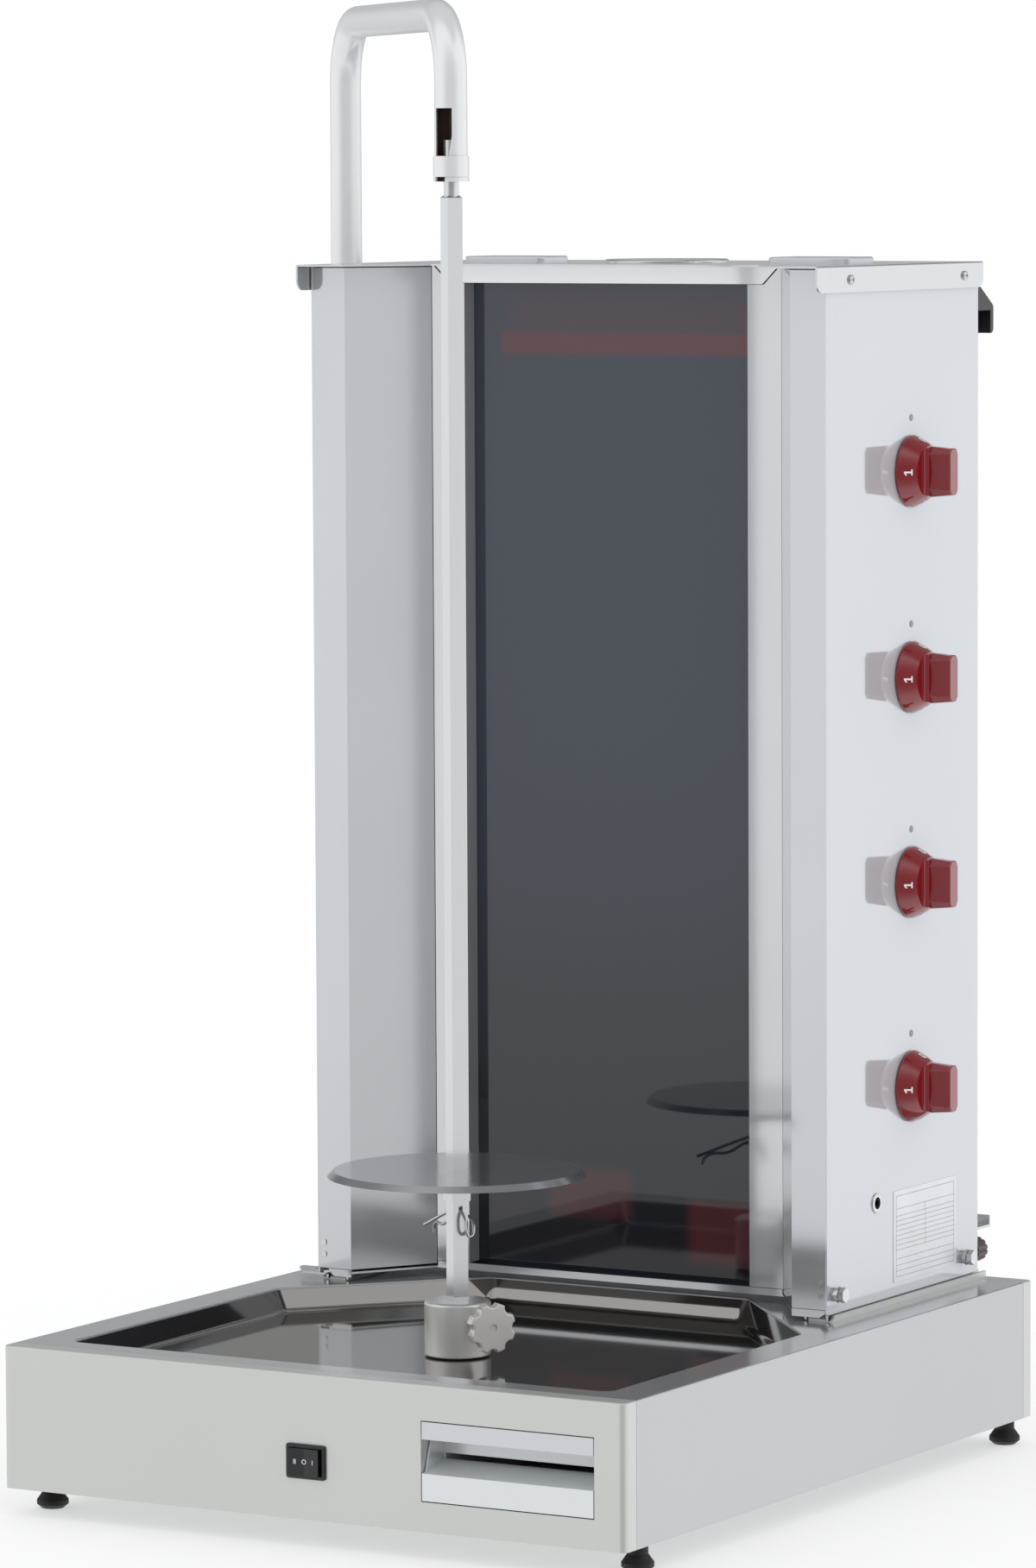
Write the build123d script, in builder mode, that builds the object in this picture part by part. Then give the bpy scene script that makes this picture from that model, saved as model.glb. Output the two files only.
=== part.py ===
"""Electric doner kebab grill: a driven spit over a drip-tray base, with a sliding heater tower.

Millimetres. +X is to the right seen from the front, the front faces -Y and +Z is up. The origin
is on the floor under the middle of the overall box. Depths named "back" count from the front
face of the base towards the rear.
"""
import math
import os

from build123d import *

os.makedirs("parts", exist_ok=True)

# Fits
seam = 0.4  # open seam between neighbouring sheets
fit = 0.3  # clearance between pieces that move past each other
running = 0.05  # radial clearance of a turning shaft
snug = 0.1  # radial clearance of a pin or bolt in its hole
cut = 1.0  # how far a cutting shape runs past a face

# Base box
base_w = 520.0
base_d = 634.0
base_h = 105.0
base_sheet = 1.5
base_corner_r = 5.0
deck_edge_r = 3.0
panel_wrap = 16.0  # how far the front and rear panels turn round the corners

# Feet
foot_h = 20.0
foot_neck_r = 7.5
foot_flare_r = 11.7
foot_sole_r = 8.0
foot_edge = 3.0
foot_flare_z = 6.0
foot_neck_z = 12.0
foot_side = 14.0  # foot axis from the side of the base
foot_front = 42.0  # front foot axis from the front of the base
foot_rear = 20.0  # rear foot axis from the rear of the base

# Drip tray sunk in the deck
tray_side = 34.0  # deck left beside the tray
tray_front = 38.0
tray_wide = 112.0  # from the spit axis back to where the tray starts to narrow
tray_tail = 240.0  # from the spit axis to the rear edge of the tray
tray_tail_half_w = 112.0
tray_depth = 17.5
tray_slope = 9.0  # how far the walls lean in
tray_sheet = 1.2
tray_flange = 7.0
tray_corner_r = 9.0
tray_floor_r = 6.0  # rounding where the walls meet the floor
deck_edge_r = 1.2  # rounding of the deck round the tray
drain_r = 8.0
drain_back = 110.0
drain_drop = 6.0

# Rocker switch in the front panel
switch_w = 32.6
switch_h = 25.0
switch_low = 42.0  # switch centre above the bottom of the base
switch_rim = 2.2
switch_wall = 1.2
switch_body_d = 24.0
switch_deep = 18.0
switch_corner_r = 2.0
switch_bevel = 0.6
rocker_w = 24.8
rocker_h = 19.2
rocker_out = 5.0  # rocker tips in front of the panel
rocker_dip = 1.5
rocker_lean = 1.4  # how far its ends slope in
rocker_pivot = 4.0
rocker_axle_r = 1.5
rocker_play = 1.4  # room beside the rocker for its swing

# Fat drawer
drawer_side = 24.7  # opening from the right side of the base
drawer_w = 140.5
drawer_low = 21.5  # opening above the bottom of the base
drawer_open_h = 58.0
drawer_gap = 0.8
drawer_strip_h = 12.5
drawer_pull_h = 19.5
drawer_pull_rise = 6.8
drawer_pull_d = 28.0
drawer_recess = 29.5
drawer_return = 14.0  # sheet turned in beside the opening
drawer_slit_h = 4.8  # slit in the back of the finger recess
drawer_slit_low = 1.0  # slit below the rear edge of the pull
cheek_low = 4.0  # front edge of the recess's end cheeks, at the pull and at the strip
cheek_high = 12.0
drawer_sheet = 1.2
drawer_box_d = 300.5
drawer_box_h = 48.5
drawer_box_side = 1.5
runner_foot_w = 12.0
runner_inset = 6.0

# Spit drive under the tray
shaft_r = 8.0
bearing_r = 30.0
bearing_h = 14.0
gearbox_w = 76.0
gearbox_d = 96.0
gearbox_h = 29.0
gearbox_floor = 6.0
gearbox_corner_r = 8.0
motor_r = 22.0
motor_l = 92.0
bracket_sheet = 3.0
bracket_gap = 25.3  # bracket foot to the drawer box
bracket_d = 80.0
bracket_foot = 16.0
seal_r = 12.0
seal_rise = 0.6

# Spit
spit_turn = -33.3  # degrees from +X to the face the star screw presses on
socket_r = 24.5
socket_h = 40.4
socket_gap = 1.0  # under the socket
socket_shaft_h = 14.0
socket_web = 4.0
socket_round = 2.5
socket_bevel = 1.0
rod_side = 12.0
rod_bevel = 1.6
rod_neck_r = 5.5
rod_neck_l = 30.0
rod_shoulder = 10.0  # shoulder below the end of the arm tube
disc_r = 95.0
disc_top = 138.0  # disc above the tray floor
disc_sheet = 2.0
disc_rim = 4.5  # width and drop of the sloping rim
disc_edge = 0.8
collar_side = 15.0
collar_h = 21.0
clip_drop = 6.5  # clip hole below the collar
clip_wire_r = 1.2
clip_play = 1.1  # bent leg clear of the rod's side
clip_slot_w = 3.2
clip_slot_h = 6.0
star_h = 28.5  # star screw above the tray floor
star_r = 18.5
star_lobes = 8
star_notch_r = 4.8
star_notch_out = 1.9
star_round = 1.5
star_t = 7.0
star_dimple_r = 3.2
star_dimple = 1.6
star_reach = 60.0  # outer face from the spit axis
star_stem_r = 4.0
star_hub_r = 8.0
star_hub_l = 6.0

# Heater tower on its rails
tower_side_gap = 39.0  # base side to tower side
tower_rear_gap = 16.5  # base rear to tower rear
tower_d = 246.0
tower_h = 770.9  # from under the floor to under the roof
tower_sheet = 1.5
spit_reach = 161.5  # spit axis to the front of the wings
rail_w = 14.0
rail_h = 5.0
rail_front = 8.0  # rail start behind the front of the tower
rail_tail = 3.0  # rail end before the rear of the base
rail_web = 0.6  # sheet between the rail and its outer guide
rail_bevel = 3.0
guide_w = 2.2
guide_h = 4.6
runner_plate = 1.3
runner_sheet = 2.0
runner_play = 1.0
runner_drop = 4.0
runner_up = 26.5
runner_front = 7.0
runner_tail = 6.0
ear_out = 27.0  # ear of the left runner beyond the side of the tower
ear_in = 9.0
ear_front = 4.0
ear_d = 26.0
ear_cut_w = 15.0
ear_cut_d = 20.0
ear_hole_r = 2.2
ear_hole_out = 8.5
ear_hole_back = 17.0
floor_lip_h = 5.6
floor_lip_down = 2.6
floor_lip_cut = 5.0  # bevel at its outer lower corner
floor_lip_rise = 3.2

# Wings, frame and glass
wing_w = 29.5
wing_run = 40.5
wing_d = 61.5
wing_sheet = 1.2
wing_return = 20.0
wing_low = 3.4
wing_slit = 1.2  # open slit between the wings and the roof
column_w = 28.5
column_return = 26.0
column_low = 5.7
header_h = 13.0
mitre_in = 12.5  # start of the mitre from the inner edge of the column
mitre_gap = 1.2
glass_set = 15.0  # glass behind the frame
glass_t = 4.0
glass_edge = 13.0  # glass hidden behind the columns
glass_low = 2.9
glass_top = 4.5

# Roof
roof_sheet = 1.5
roof_over = 18.0  # overhang in front
roof_over_rear = 4.0
roof_gap = 1.0
roof_lip_h = 19.5
roof_lip_r = 8.0
roof_cap_r = 47.5
roof_cap_h = 2.5
roof_cap_round = 2.0
roof_mid = 87.5  # cap and vents before the rear of the tower
vent_x = 133.0
vent_w = 70.0
vent_d = 44.0
vent_h = 4.5
vent_sheet = 1.0
vent_slots = 5
vent_slot = 3.2
vent_slot_l = 54.0
vent_corner_r = 5.0
vent_round = 2.0
vent_rim = 6.0

# Heaters and their switches
heater_first = 155.1  # lowest heater and knob above the tower floor
heater_pitch = 154.2
heater_count = 4
heater_h = 136.0
heater_d = 30.0
heater_sheet = 1.0
heater_gap = 0.3
element_r = 3.5
element_runs = 4
element_pitch = 28.0
element_half_w = 96.0
element_deep = 14.0
knob_back = 135.5  # knob axis behind the front of the tower
knob_r = 27.0
knob_off = 0.8
knob_rim = 1.4
knob_neck_r = 19.3  # where the skirt ends and the grip's round ends begin
knob_neck = 16.0
knob_hollow = 0.5  # how far the skirt curves in from a straight cone
knob_face_r = 17.6
knob_top = 36.0
knob_grip_t = 13.6
knob_foot_t = 14.2
knob_floor = 15.2  # bottom of the finger scoops beside the grip
knob_scoop_r = 3.6
knob_bevel_x = 13.0  # bevel along the grip's four long edges: where it starts, and its end past the edge
knob_bevel_y = -1.8
knob_round = 1.2
spindle_r = 3.0
spindle_l = 20.0
spindle_hole = 5.0
selector_w = 42.0
selector_d = 36.0
dot_r = 2.5
dot_t = 0.4
dot_above = 40.0
bush_r = 7.5
bush_hole_r = 4.5
bush_neck_r = 5.7
bush_round = 0.5
bush_t = 1.2
bush_before = 57.0  # bush before the knob axis
bush_h = 73.4
plate_w = 103.0
plate_h = 69.0
plate_t = 0.5
plate_after = 22.0  # plate centre behind the knob axis
plate_z = 43.9

# Fasteners
bolt_af = 10.0
bolt_head = 4.5
bolt_r = 3.0
bolt_z = 14.4
bolt_front = 9.0
bolt_rear = 27.5
bolt_in = 9.0
washer_r = 5.2
washer_groove_r = 4.4
washer_l = 5.0
washer_flange_r = 6.2
washer_flange = 1.6
screw_head_r = 3.6
screw_head = 2.4
screw_wall = 0.9  # straight part of the domed head
screw_recess_l = 3.4
screw_recess_w = 0.9
screw_recess = 1.3
screw_r = 2.0
screw_l = 6.0
lip_screw_drop = 10.3
lip_screw_front = 34.2
lip_screw_rear = 28.0
rivet_r = 2.2
rivet_shank_r = 1.1
rivet_t = 0.8
rivet_in = 5.5
rivet_low = 14.0
rivet_high = 23.3

# Rear of the tower
handle_out = 33.0
handle_w = 110.0
handle_side = 3.5
handle_h = 43.0
handle_slant = 22.0
handle_drop = 12.0  # handle top below the roof
handle_wall = 3.0
handle_lip = 5.0
handle_deep = 17.5  # finger hollow, open below and at both ends
handle_round = 4.0
hook_w = 12.0
hook_side = 2.0
hook_out = 24.0
hook_z = 32.5
hook_t = 2.0
hook_flange = 8.0
hook_end = 7.0
gland_side = 10.5
gland_z = 13.6
gland_r = 9.4
gland_out = 20.0
gland_hex = 5.0
gland_ribs = 12
gland_groove_r = 0.9
gland_thread_l = 3.5
gland_bore = 4.5
gland_thread_r = 7.0
terminal_w = 90.0
terminal_d = 28.0
terminal_h = 26.0

# Support arm
pole_side = 16.0  # pole axis from the left side of the base
pole_behind = 250.0  # pole axis behind the spit axis
tube_r = 12.0
tube_wall = 2.0
tube_bend_r = 48.0
arm_rise = 184.0  # arm centre line above the roof
arm_drop = 121.0
arm_depth = 60.0  # pole below the deck
arm_block_w = 32.0
arm_block_d = 44.0
arm_block_floor = 4.0
tube_stop_r = 13.1
tube_stop_h = 3.2
tube_slot = 13.4
tube_slot_h = 53.0
tube_slot_taper = 33.0
tube_slot_low = 2.0
lock_wall = 0.8
lock_h = 15.0
bush_low = 4.0
arm_bush_h = 13.0

# Places worked out from the sizes
half_w = base_w / 2
deck_z = foot_h + base_h
deck_under = deck_z - base_sheet
plate_top = foot_h + base_sheet
tower_rear = base_d - tower_rear_gap
tower_front = tower_rear - tower_d
column_front = tower_front + wing_d
glass_front = column_front + glass_set
spit_back = tower_front - spit_reach
rear_out = tower_rear + handle_out - base_d
front_y = (rocker_out - rear_out - base_d) / 2


def back(distance):
    """Y of a depth counted from the front face of the base."""
    return front_y + distance


spit_y = back(spit_back)
tray_z = deck_z - tray_depth
tray_under = tray_z - tray_sheet
rail_top = deck_z + rail_h
floor_z = rail_top + fit + runner_plate
floor_top = floor_z + tower_sheet
roof_z = floor_z + tower_h
roof_top = roof_z + roof_sheet
tower_half = half_w - tower_side_gap
tower_in = tower_half - tower_sheet
wing_in = tower_half - wing_w
column_out = wing_in - wing_run
column_in = column_out - column_w
heater_z = [floor_z + heater_first + heater_pitch * n for n in range(heater_count)]
knob_y = back(tower_front + knob_back)
arm_z = roof_top + arm_rise
tube_end = arm_z - arm_drop
shoulder_z = tube_end - rod_shoulder
pole_x = pole_side - half_w
pole_y = spit_y + pole_behind
spit_dir = (math.cos(math.radians(spit_turn)), math.sin(math.radians(spit_turn)), 0)


def spit_plane(z):
    """Level plane on the spit axis, its x along the direction of the star screw."""
    return Plane(origin=(0, spit_y, z), x_dir=spit_dir, z_dir=(0, 0, 1))


def block(x0, x1, y0, y1, z0, z1, mode=Mode.ADD):
    """Box between two corners, in the open builder."""
    with Locations(((x0 + x1) / 2, (y0 + y1) / 2, (z0 + z1) / 2)):
        Box(x1 - x0, y1 - y0, z1 - z0, mode=mode)


def rod(start, direction, radius, length, mode=Mode.ADD):
    """Cylinder from a start point along a direction, in the open builder."""
    with Locations(Plane(origin=start, z_dir=direction)):
        Cylinder(radius, length, align=(Align.CENTER, Align.CENTER, Align.MIN), mode=mode)


def drill(start, direction, radius, length):
    """Round hole from a start point along a direction, in the open builder."""
    rod(start, direction, radius, length, Mode.SUBTRACT)


def prism(plane, outline, height):
    """Closed outline on a plane, drawn out by a height."""
    with BuildPart() as piece:
        with BuildSketch(plane):
            with BuildLine():
                Polyline(*outline, close=True)
            make_face()
        extrude(amount=height)
    return piece.part


def turned(outline):
    """Closed outline of radius and height, turned round the Z axis."""
    with BuildPart() as piece:
        with BuildSketch(Plane.XZ):
            with BuildLine():
                Polyline(*outline, close=True)
            make_face()
        revolve(axis=Axis.Z)
    return piece.part


def shifted(points, distance):
    """Open line moved to its left by a distance, with mitred corners."""
    normals = []
    for a, b in zip(points, points[1:]):
        length = math.dist(a, b)
        normals.append(((a[1] - b[1]) / length, (b[0] - a[0]) / length))
    moved = []
    for place, (x, y) in enumerate(points):
        before = normals[max(place - 1, 0)]
        after = normals[min(place, len(normals) - 1)]
        scale = distance / (1 + before[0] * after[0] + before[1] * after[1])
        moved.append((x + (before[0] + after[0]) * scale, y + (before[1] + after[1]) * scale))
    return moved


def folded(points, sheet):
    """Outline of a sheet folded along a line, its thickness on the left of the line."""
    return points + shifted(points, sheet)[::-1]


def grown(points, distance):
    """Closed anticlockwise outline grown by a distance."""
    return shifted([points[-1]] + points + [points[0]], -distance)[1:-1]


def mirrored(points, side):
    """Outline for the right (1) or left (-1) side."""
    return [(side * x, y) for x, y in points]


def save(piece, name):
    """Name a sub-part and write it out."""
    piece.part.label = name
    export_step(piece.part, f"parts/{name}.step")


# Base: one box of sheet, cut into the front panel, the deck with the sides, and the rear panel
def base_box():
    """Whole outer box of the base, open below."""
    with BuildPart() as box:
        with BuildSketch(Plane.XY.offset(foot_h)):
            with Locations((0, back(base_d / 2))):
                RectangleRounded(base_w, base_d, base_corner_r)
        extrude(amount=base_h)
        fillet(box.faces().sort_by(Axis.Z)[-1].edges(), deck_edge_r)
        with BuildSketch(Plane.XY.offset(foot_h)):
            with Locations((0, back(base_d / 2))):
                RectangleRounded(base_w - 2 * base_sheet, base_d - 2 * base_sheet, base_corner_r - base_sheet)
        extrude(amount=base_h - base_sheet, mode=Mode.SUBTRACT)
    return box.part


tray_half_w = half_w - tray_side
tray_outline = [
    (-tray_half_w, back(tray_front)),
    (tray_half_w, back(tray_front)),
    (tray_half_w, spit_y + tray_wide),
    (tray_tail_half_w, spit_y + tray_tail),
    (-tray_tail_half_w, spit_y + tray_tail),
    (-tray_half_w, spit_y + tray_wide),
]


def tray_face(z, growth):
    """Level face of the tray's outline, grown or shrunk, with rounded corners."""
    with BuildSketch(Plane.XY.offset(z)) as face:
        with BuildLine():
            Polyline(*grown(tray_outline, growth), close=True)
        make_face()
        fillet(face.vertices(), tray_corner_r)
    return face.sketch.faces()[0]


def tray_filling(floor_level, growth, floor_r):
    """Solid that fills the tray up to the deck, with leaning walls and a rounded floor edge."""
    with BuildPart() as filling:
        loft([tray_face(deck_under, growth), tray_face(floor_level, growth - tray_slope)], ruled=True)
        fillet(filling.faces().sort_by(Axis.Z)[0].edges(), floor_r)
    return filling.part


def is_tray_edge(edge):
    """Whether an edge of the deck's top lies round the tray."""
    middle = edge.center()
    beside = abs(middle.X) < tray_half_w + snug
    return beside and back(tray_front) - snug < middle.Y < spit_y + tray_tail + snug


with BuildPart() as base_shell:
    add(base_box())
    block(-base_w, base_w, back(panel_wrap + seam), back(base_d - panel_wrap - seam), 0, 2 * deck_z,
          Mode.INTERSECT)
    extrude(tray_face(deck_z - tray_depth, 0), amount=2 * tray_depth, dir=(0, 0, 1), mode=Mode.SUBTRACT)
    fillet(base_shell.edges().group_by(Axis.Z)[-1].filter_by(is_tray_edge), deck_edge_r)
    drill((pole_x, pole_y, deck_under - cut), (0, 0, 1), tube_r + snug, base_sheet + 2 * cut)
save(base_shell, "base_shell")

drawer_x1 = half_w - drawer_side
drawer_x0 = drawer_x1 - drawer_w
drawer_z0 = foot_h + drawer_low
drawer_z1 = drawer_z0 + drawer_open_h
switch_z = foot_h + switch_low
switch_half_w = rocker_w / 2 + rocker_play + switch_wall
switch_half_h = rocker_h / 2 + fit + switch_wall
axle_half = switch_half_h - switch_wall / 2

with BuildPart() as base_front_panel:
    add(base_box())
    block(-base_w, base_w, back(-base_d), back(panel_wrap), 0, 2 * deck_z, Mode.INTERSECT)
    block(drawer_x0, drawer_x1, back(-cut), back(base_sheet + cut), drawer_z0, drawer_z1, Mode.SUBTRACT)
    for x in (drawer_x0 - base_sheet, drawer_x1):
        block(x, x + base_sheet, back(0), back(drawer_return), drawer_z0, drawer_z1)
    block(-switch_half_w - fit, switch_half_w + fit, back(-cut), back(base_sheet + cut),
          switch_z - switch_half_h - fit, switch_z + switch_half_h + fit, Mode.SUBTRACT)
save(base_front_panel, "base_front_panel")

with BuildPart() as base_rear_panel:
    add(base_box())
    block(-base_w, base_w, back(base_d - panel_wrap), back(2 * base_d), 0, 2 * deck_z, Mode.INTERSECT)
save(base_rear_panel, "base_rear_panel")

with BuildPart() as base_bottom_plate:
    with BuildSketch(Plane.XY.offset(foot_h)):
        with Locations((0, back(base_d / 2))):
            RectangleRounded(base_w - 2 * base_sheet - 2 * snug, base_d - 2 * base_sheet - 2 * snug,
                             base_corner_r - base_sheet)
    extrude(amount=base_sheet)
save(base_bottom_plate, "base_bottom_plate")

foot_outline = [
    (0, 0),
    (foot_sole_r, 0),
    (foot_flare_r, foot_edge),
    (foot_flare_r, foot_flare_z),
    (foot_neck_r, foot_neck_z),
    (foot_neck_r, foot_h),
    (0, foot_h),
]
foot = turned(foot_outline)
foot_x = half_w - foot_side
with BuildPart() as feet:
    with Locations((-foot_x, back(foot_front)), (foot_x, back(foot_front)),
                   (-foot_x, back(base_d - foot_rear)), (foot_x, back(base_d - foot_rear))):
        add(foot)
save(feet, "feet")

drain_x = (drawer_x0 + drawer_x1) / 2
drain_y = back(drain_back)
with BuildPart() as drip_tray:
    extrude(tray_face(deck_under, tray_flange), amount=tray_sheet, dir=(0, 0, -1))
    add(tray_filling(tray_under, tray_sheet, tray_floor_r + tray_sheet))
    rod((drain_x, drain_y, tray_under - drain_drop), (0, 0, 1), drain_r + tray_sheet, drain_drop + tray_sheet)
    add(tray_filling(tray_z, 0, tray_floor_r), mode=Mode.SUBTRACT)
    drill((drain_x, drain_y, tray_under - drain_drop - cut), (0, 0, 1), drain_r, drain_drop + tray_depth)
    drill((0, spit_y, tray_under - cut), (0, 0, 1), seal_r, tray_depth)
save(drip_tray, "drip_tray")

# Rocker switch: bezel and body in one, and the rocker on its axle
with BuildPart() as switch_housing:
    block(-switch_w / 2, switch_w / 2, back(-switch_rim), back(0),
          switch_z - switch_h / 2, switch_z + switch_h / 2)
    fillet(switch_housing.edges().filter_by(Axis.Y), switch_corner_r)
    chamfer(switch_housing.faces().sort_by(Axis.Y)[0].edges(), switch_bevel)
    block(-switch_half_w, switch_half_w, back(0), back(switch_body_d),
          switch_z - switch_half_h, switch_z + switch_half_h)
    block(switch_wall - switch_half_w, switch_half_w - switch_wall,
          back(-switch_rim - cut), back(switch_deep),
          switch_z - rocker_h / 2 - fit, switch_z + rocker_h / 2 + fit, Mode.SUBTRACT)
    drill((0, back(rocker_pivot), switch_z - axle_half - snug), (0, 0, 1), rocker_axle_r + running,
          2 * (axle_half + snug))
save(switch_housing, "switch_housing")

rocker_outline = [
    (-rocker_w / 2, back(-rocker_out)),
    (0, back(rocker_dip - rocker_out)),
    (rocker_w / 2, back(-rocker_out)),
    (rocker_w / 2 - rocker_lean, back(rocker_pivot)),
    (rocker_lean - rocker_w / 2, back(rocker_pivot)),
]
with BuildPart() as switch_rocker:
    add(prism(Plane.XY.offset(switch_z - rocker_h / 2), rocker_outline, rocker_h))
    rod((0, back(rocker_pivot), switch_z - axle_half), (0, 0, 1), rocker_axle_r, 2 * axle_half)
save(switch_rocker, "switch_rocker")

# Fat drawer: box, flush upper strip and folded pull
drawer_face_x0 = drawer_x0 + drawer_gap
drawer_face_w = drawer_w - 2 * drawer_gap
drawer_top = drawer_z1 - drawer_gap
drawer_low_z = drawer_z0 + drawer_gap
drawer_plane = Plane.YZ.offset(drawer_face_x0)
strip_line = [
    (back(drawer_recess), drawer_top),
    (back(0), drawer_top),
    (back(0), drawer_top - drawer_strip_h),
]
pull_edge = drawer_low_z + drawer_pull_h
pull_line = [
    (back(drawer_pull_d), pull_edge + drawer_pull_rise),
    (back(0), pull_edge),
    (back(0), drawer_low_z),
    (back(drawer_recess), drawer_low_z),
]
cheek_outline = [
    (back(cheek_low), pull_edge),
    (back(cheek_high), drawer_top - drawer_strip_h),
    (back(cheek_high), drawer_top - drawer_sheet),
    (back(drawer_recess), drawer_top - drawer_sheet),
    (back(drawer_recess), pull_edge),
]
with BuildPart() as drawer_strip:
    add(prism(drawer_plane, folded(strip_line, drawer_sheet), drawer_face_w))
save(drawer_strip, "drawer_strip")

with BuildPart() as drawer_pull:
    add(prism(drawer_plane, folded(pull_line, drawer_sheet), drawer_face_w))
    for shift in (0, drawer_face_w - drawer_sheet):
        add(prism(drawer_plane.offset(shift), cheek_outline, drawer_sheet))
save(drawer_pull, "drawer_pull")

box_x0 = drawer_x0 + drawer_box_side
box_x1 = drawer_x1 - drawer_box_side
box_y0 = back(drawer_recess)
box_y1 = back(drawer_recess + drawer_box_d)
box_z0 = drawer_low_z + drawer_sheet
box_z1 = box_z0 + drawer_box_h
with BuildPart() as drawer_box:
    block(box_x0, box_x1, box_y0, box_y1, box_z0, box_z1)
    block(box_x0 + drawer_sheet, box_x1 - drawer_sheet, box_y0 + drawer_sheet, box_y1 - drawer_sheet,
          box_z0 + drawer_sheet, 2 * box_z1, Mode.SUBTRACT)
    block(box_x0, box_x1, box_y0, box_y0 + drawer_sheet, box_z0, drawer_top)
    slit_z = pull_edge + drawer_pull_rise - drawer_slit_low
    block(box_x0 + drawer_sheet, box_x1 - drawer_sheet, box_y0 - cut, box_y0 + drawer_sheet + cut,
          slit_z, slit_z + drawer_slit_h, Mode.SUBTRACT)
save(drawer_box, "drawer_box")

with BuildPart() as drawer_runners:
    for start in (box_x0 + runner_inset, box_x1 - runner_inset - runner_foot_w):
        runner_line = [
            (start + runner_foot_w, plate_top + base_sheet),
            (start, plate_top + base_sheet),
            (start, box_z0 - fit),
            (start + runner_foot_w, box_z0 - fit),
        ]
        add(prism(Plane.XZ.offset(-box_y1), folded(runner_line, -base_sheet), drawer_box_d - fit))
save(drawer_runners, "drawer_runners")

# Drive under the tray
gearbox_top = tray_under - bearing_h
gearbox_low = gearbox_top - gearbox_h
shaft_low = gearbox_low + gearbox_floor
with BuildPart() as bearing_housing:
    rod((0, spit_y, gearbox_top), (0, 0, 1), bearing_r, bearing_h)
    drill((0, spit_y, gearbox_top - cut), (0, 0, 1), shaft_r + running, bearing_h + 2 * cut)
save(bearing_housing, "bearing_housing")

with BuildPart() as gear_motor:
    block(-gearbox_w / 2, gearbox_w / 2, spit_y - gearbox_d / 2, spit_y + gearbox_d / 2,
          gearbox_low, gearbox_top)
    fillet(gear_motor.edges().filter_by(Axis.Z), gearbox_corner_r)
    rod((0, spit_y + bracket_d / 2 + fit, gearbox_top - motor_r), (0, 1, 0), motor_r, motor_l)
    drill((0, spit_y, shaft_low - cut), (0, 0, 1), shaft_r + running, gearbox_h)
save(gear_motor, "gear_motor")

bracket_half = box_x0 - bracket_gap
bracket_leg = bracket_half - bracket_foot
bracket_line = [
    (-bracket_half, plate_top),
    (-bracket_leg, plate_top),
    (-bracket_leg, gearbox_low - bracket_sheet),
    (bracket_leg, gearbox_low - bracket_sheet),
    (bracket_leg, plate_top),
    (bracket_half, plate_top),
]
with BuildPart() as motor_bracket:
    add(prism(Plane.XZ.offset(-spit_y - bracket_d / 2), folded(bracket_line, bracket_sheet), bracket_d))
save(motor_bracket, "motor_bracket")

with BuildPart() as shaft_seal:
    rod((0, spit_y, tray_under), (0, 0, 1), seal_r, tray_sheet + seal_rise)
    drill((0, spit_y, tray_under - cut), (0, 0, 1), shaft_r + snug, tray_sheet + seal_rise + 2 * cut)
save(shaft_seal, "shaft_seal")

# Spit: shaft, socket, rod, disc with its collar, clip and star screw
socket_z = tray_z + socket_gap
star_z = tray_z + star_h
rod_low = socket_z + socket_shaft_h + socket_web
with BuildPart() as drive_shaft:
    rod((0, spit_y, shaft_low), (0, 0, 1), shaft_r, socket_z + socket_shaft_h - shaft_low)
save(drive_shaft, "drive_shaft")

with BuildPart() as spit_socket:
    rod((0, spit_y, socket_z), (0, 0, 1), socket_r, socket_h)
    fillet(spit_socket.edges().group_by(Axis.Z)[-1], socket_round)
    chamfer(spit_socket.edges().group_by(Axis.Z)[0], socket_bevel)
    drill((0, spit_y, socket_z - cut), (0, 0, 1), shaft_r, socket_shaft_h + cut)
    with BuildSketch(spit_plane(rod_low)):
        Rectangle(rod_side + 2 * snug, rod_side + 2 * snug)
    extrude(amount=socket_h, mode=Mode.SUBTRACT)
    drill((0, spit_y, star_z), spit_dir, star_stem_r + snug, 2 * socket_r)
save(spit_socket, "spit_socket")

disc_z = tray_z + disc_top
collar_top = disc_z - disc_sheet
collar_z = collar_top - collar_h
clip_z = collar_z - clip_drop
with BuildPart() as spit_rod:
    with BuildSketch(spit_plane(rod_low)):
        Rectangle(rod_side, rod_side)
    extrude(amount=shoulder_z - rod_low)
    chamfer(spit_rod.faces().sort_by(Axis.Z)[-1].edges(), rod_bevel)
    rod((0, spit_y, shoulder_z - cut), (0, 0, 1), rod_neck_r, rod_neck_l + rod_shoulder + cut)
    with BuildSketch(Plane(origin=(0, spit_y, clip_z), x_dir=(0, 0, 1), z_dir=spit_dir)):
        Rectangle(clip_slot_h, clip_slot_w)
    extrude(amount=rod_side, both=True, mode=Mode.SUBTRACT)
save(spit_rod, "spit_rod")

disc_profile = [
    (0, disc_z),
    (disc_r - disc_rim, disc_z),
    (disc_r, disc_z - disc_rim),
    (disc_r - disc_sheet, disc_z - disc_rim),
    (disc_r - disc_rim - disc_edge, collar_top),
    (0, collar_top),
]
with BuildPart() as meat_disc:
    with Locations((0, spit_y)):
        add(turned(disc_profile))
    with BuildSketch(spit_plane(collar_top - cut)):
        Rectangle(rod_side + 2 * snug, rod_side + 2 * snug)
    extrude(amount=2 * disc_sheet, mode=Mode.SUBTRACT)
save(meat_disc, "meat_disc")

with BuildPart() as disc_collar:
    with BuildSketch(spit_plane(collar_z)):
        Rectangle(collar_side, collar_side)
        Rectangle(rod_side + 2 * snug, rod_side + 2 * snug, mode=Mode.SUBTRACT)
    extrude(amount=collar_h)
save(disc_collar, "disc_collar")

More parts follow.
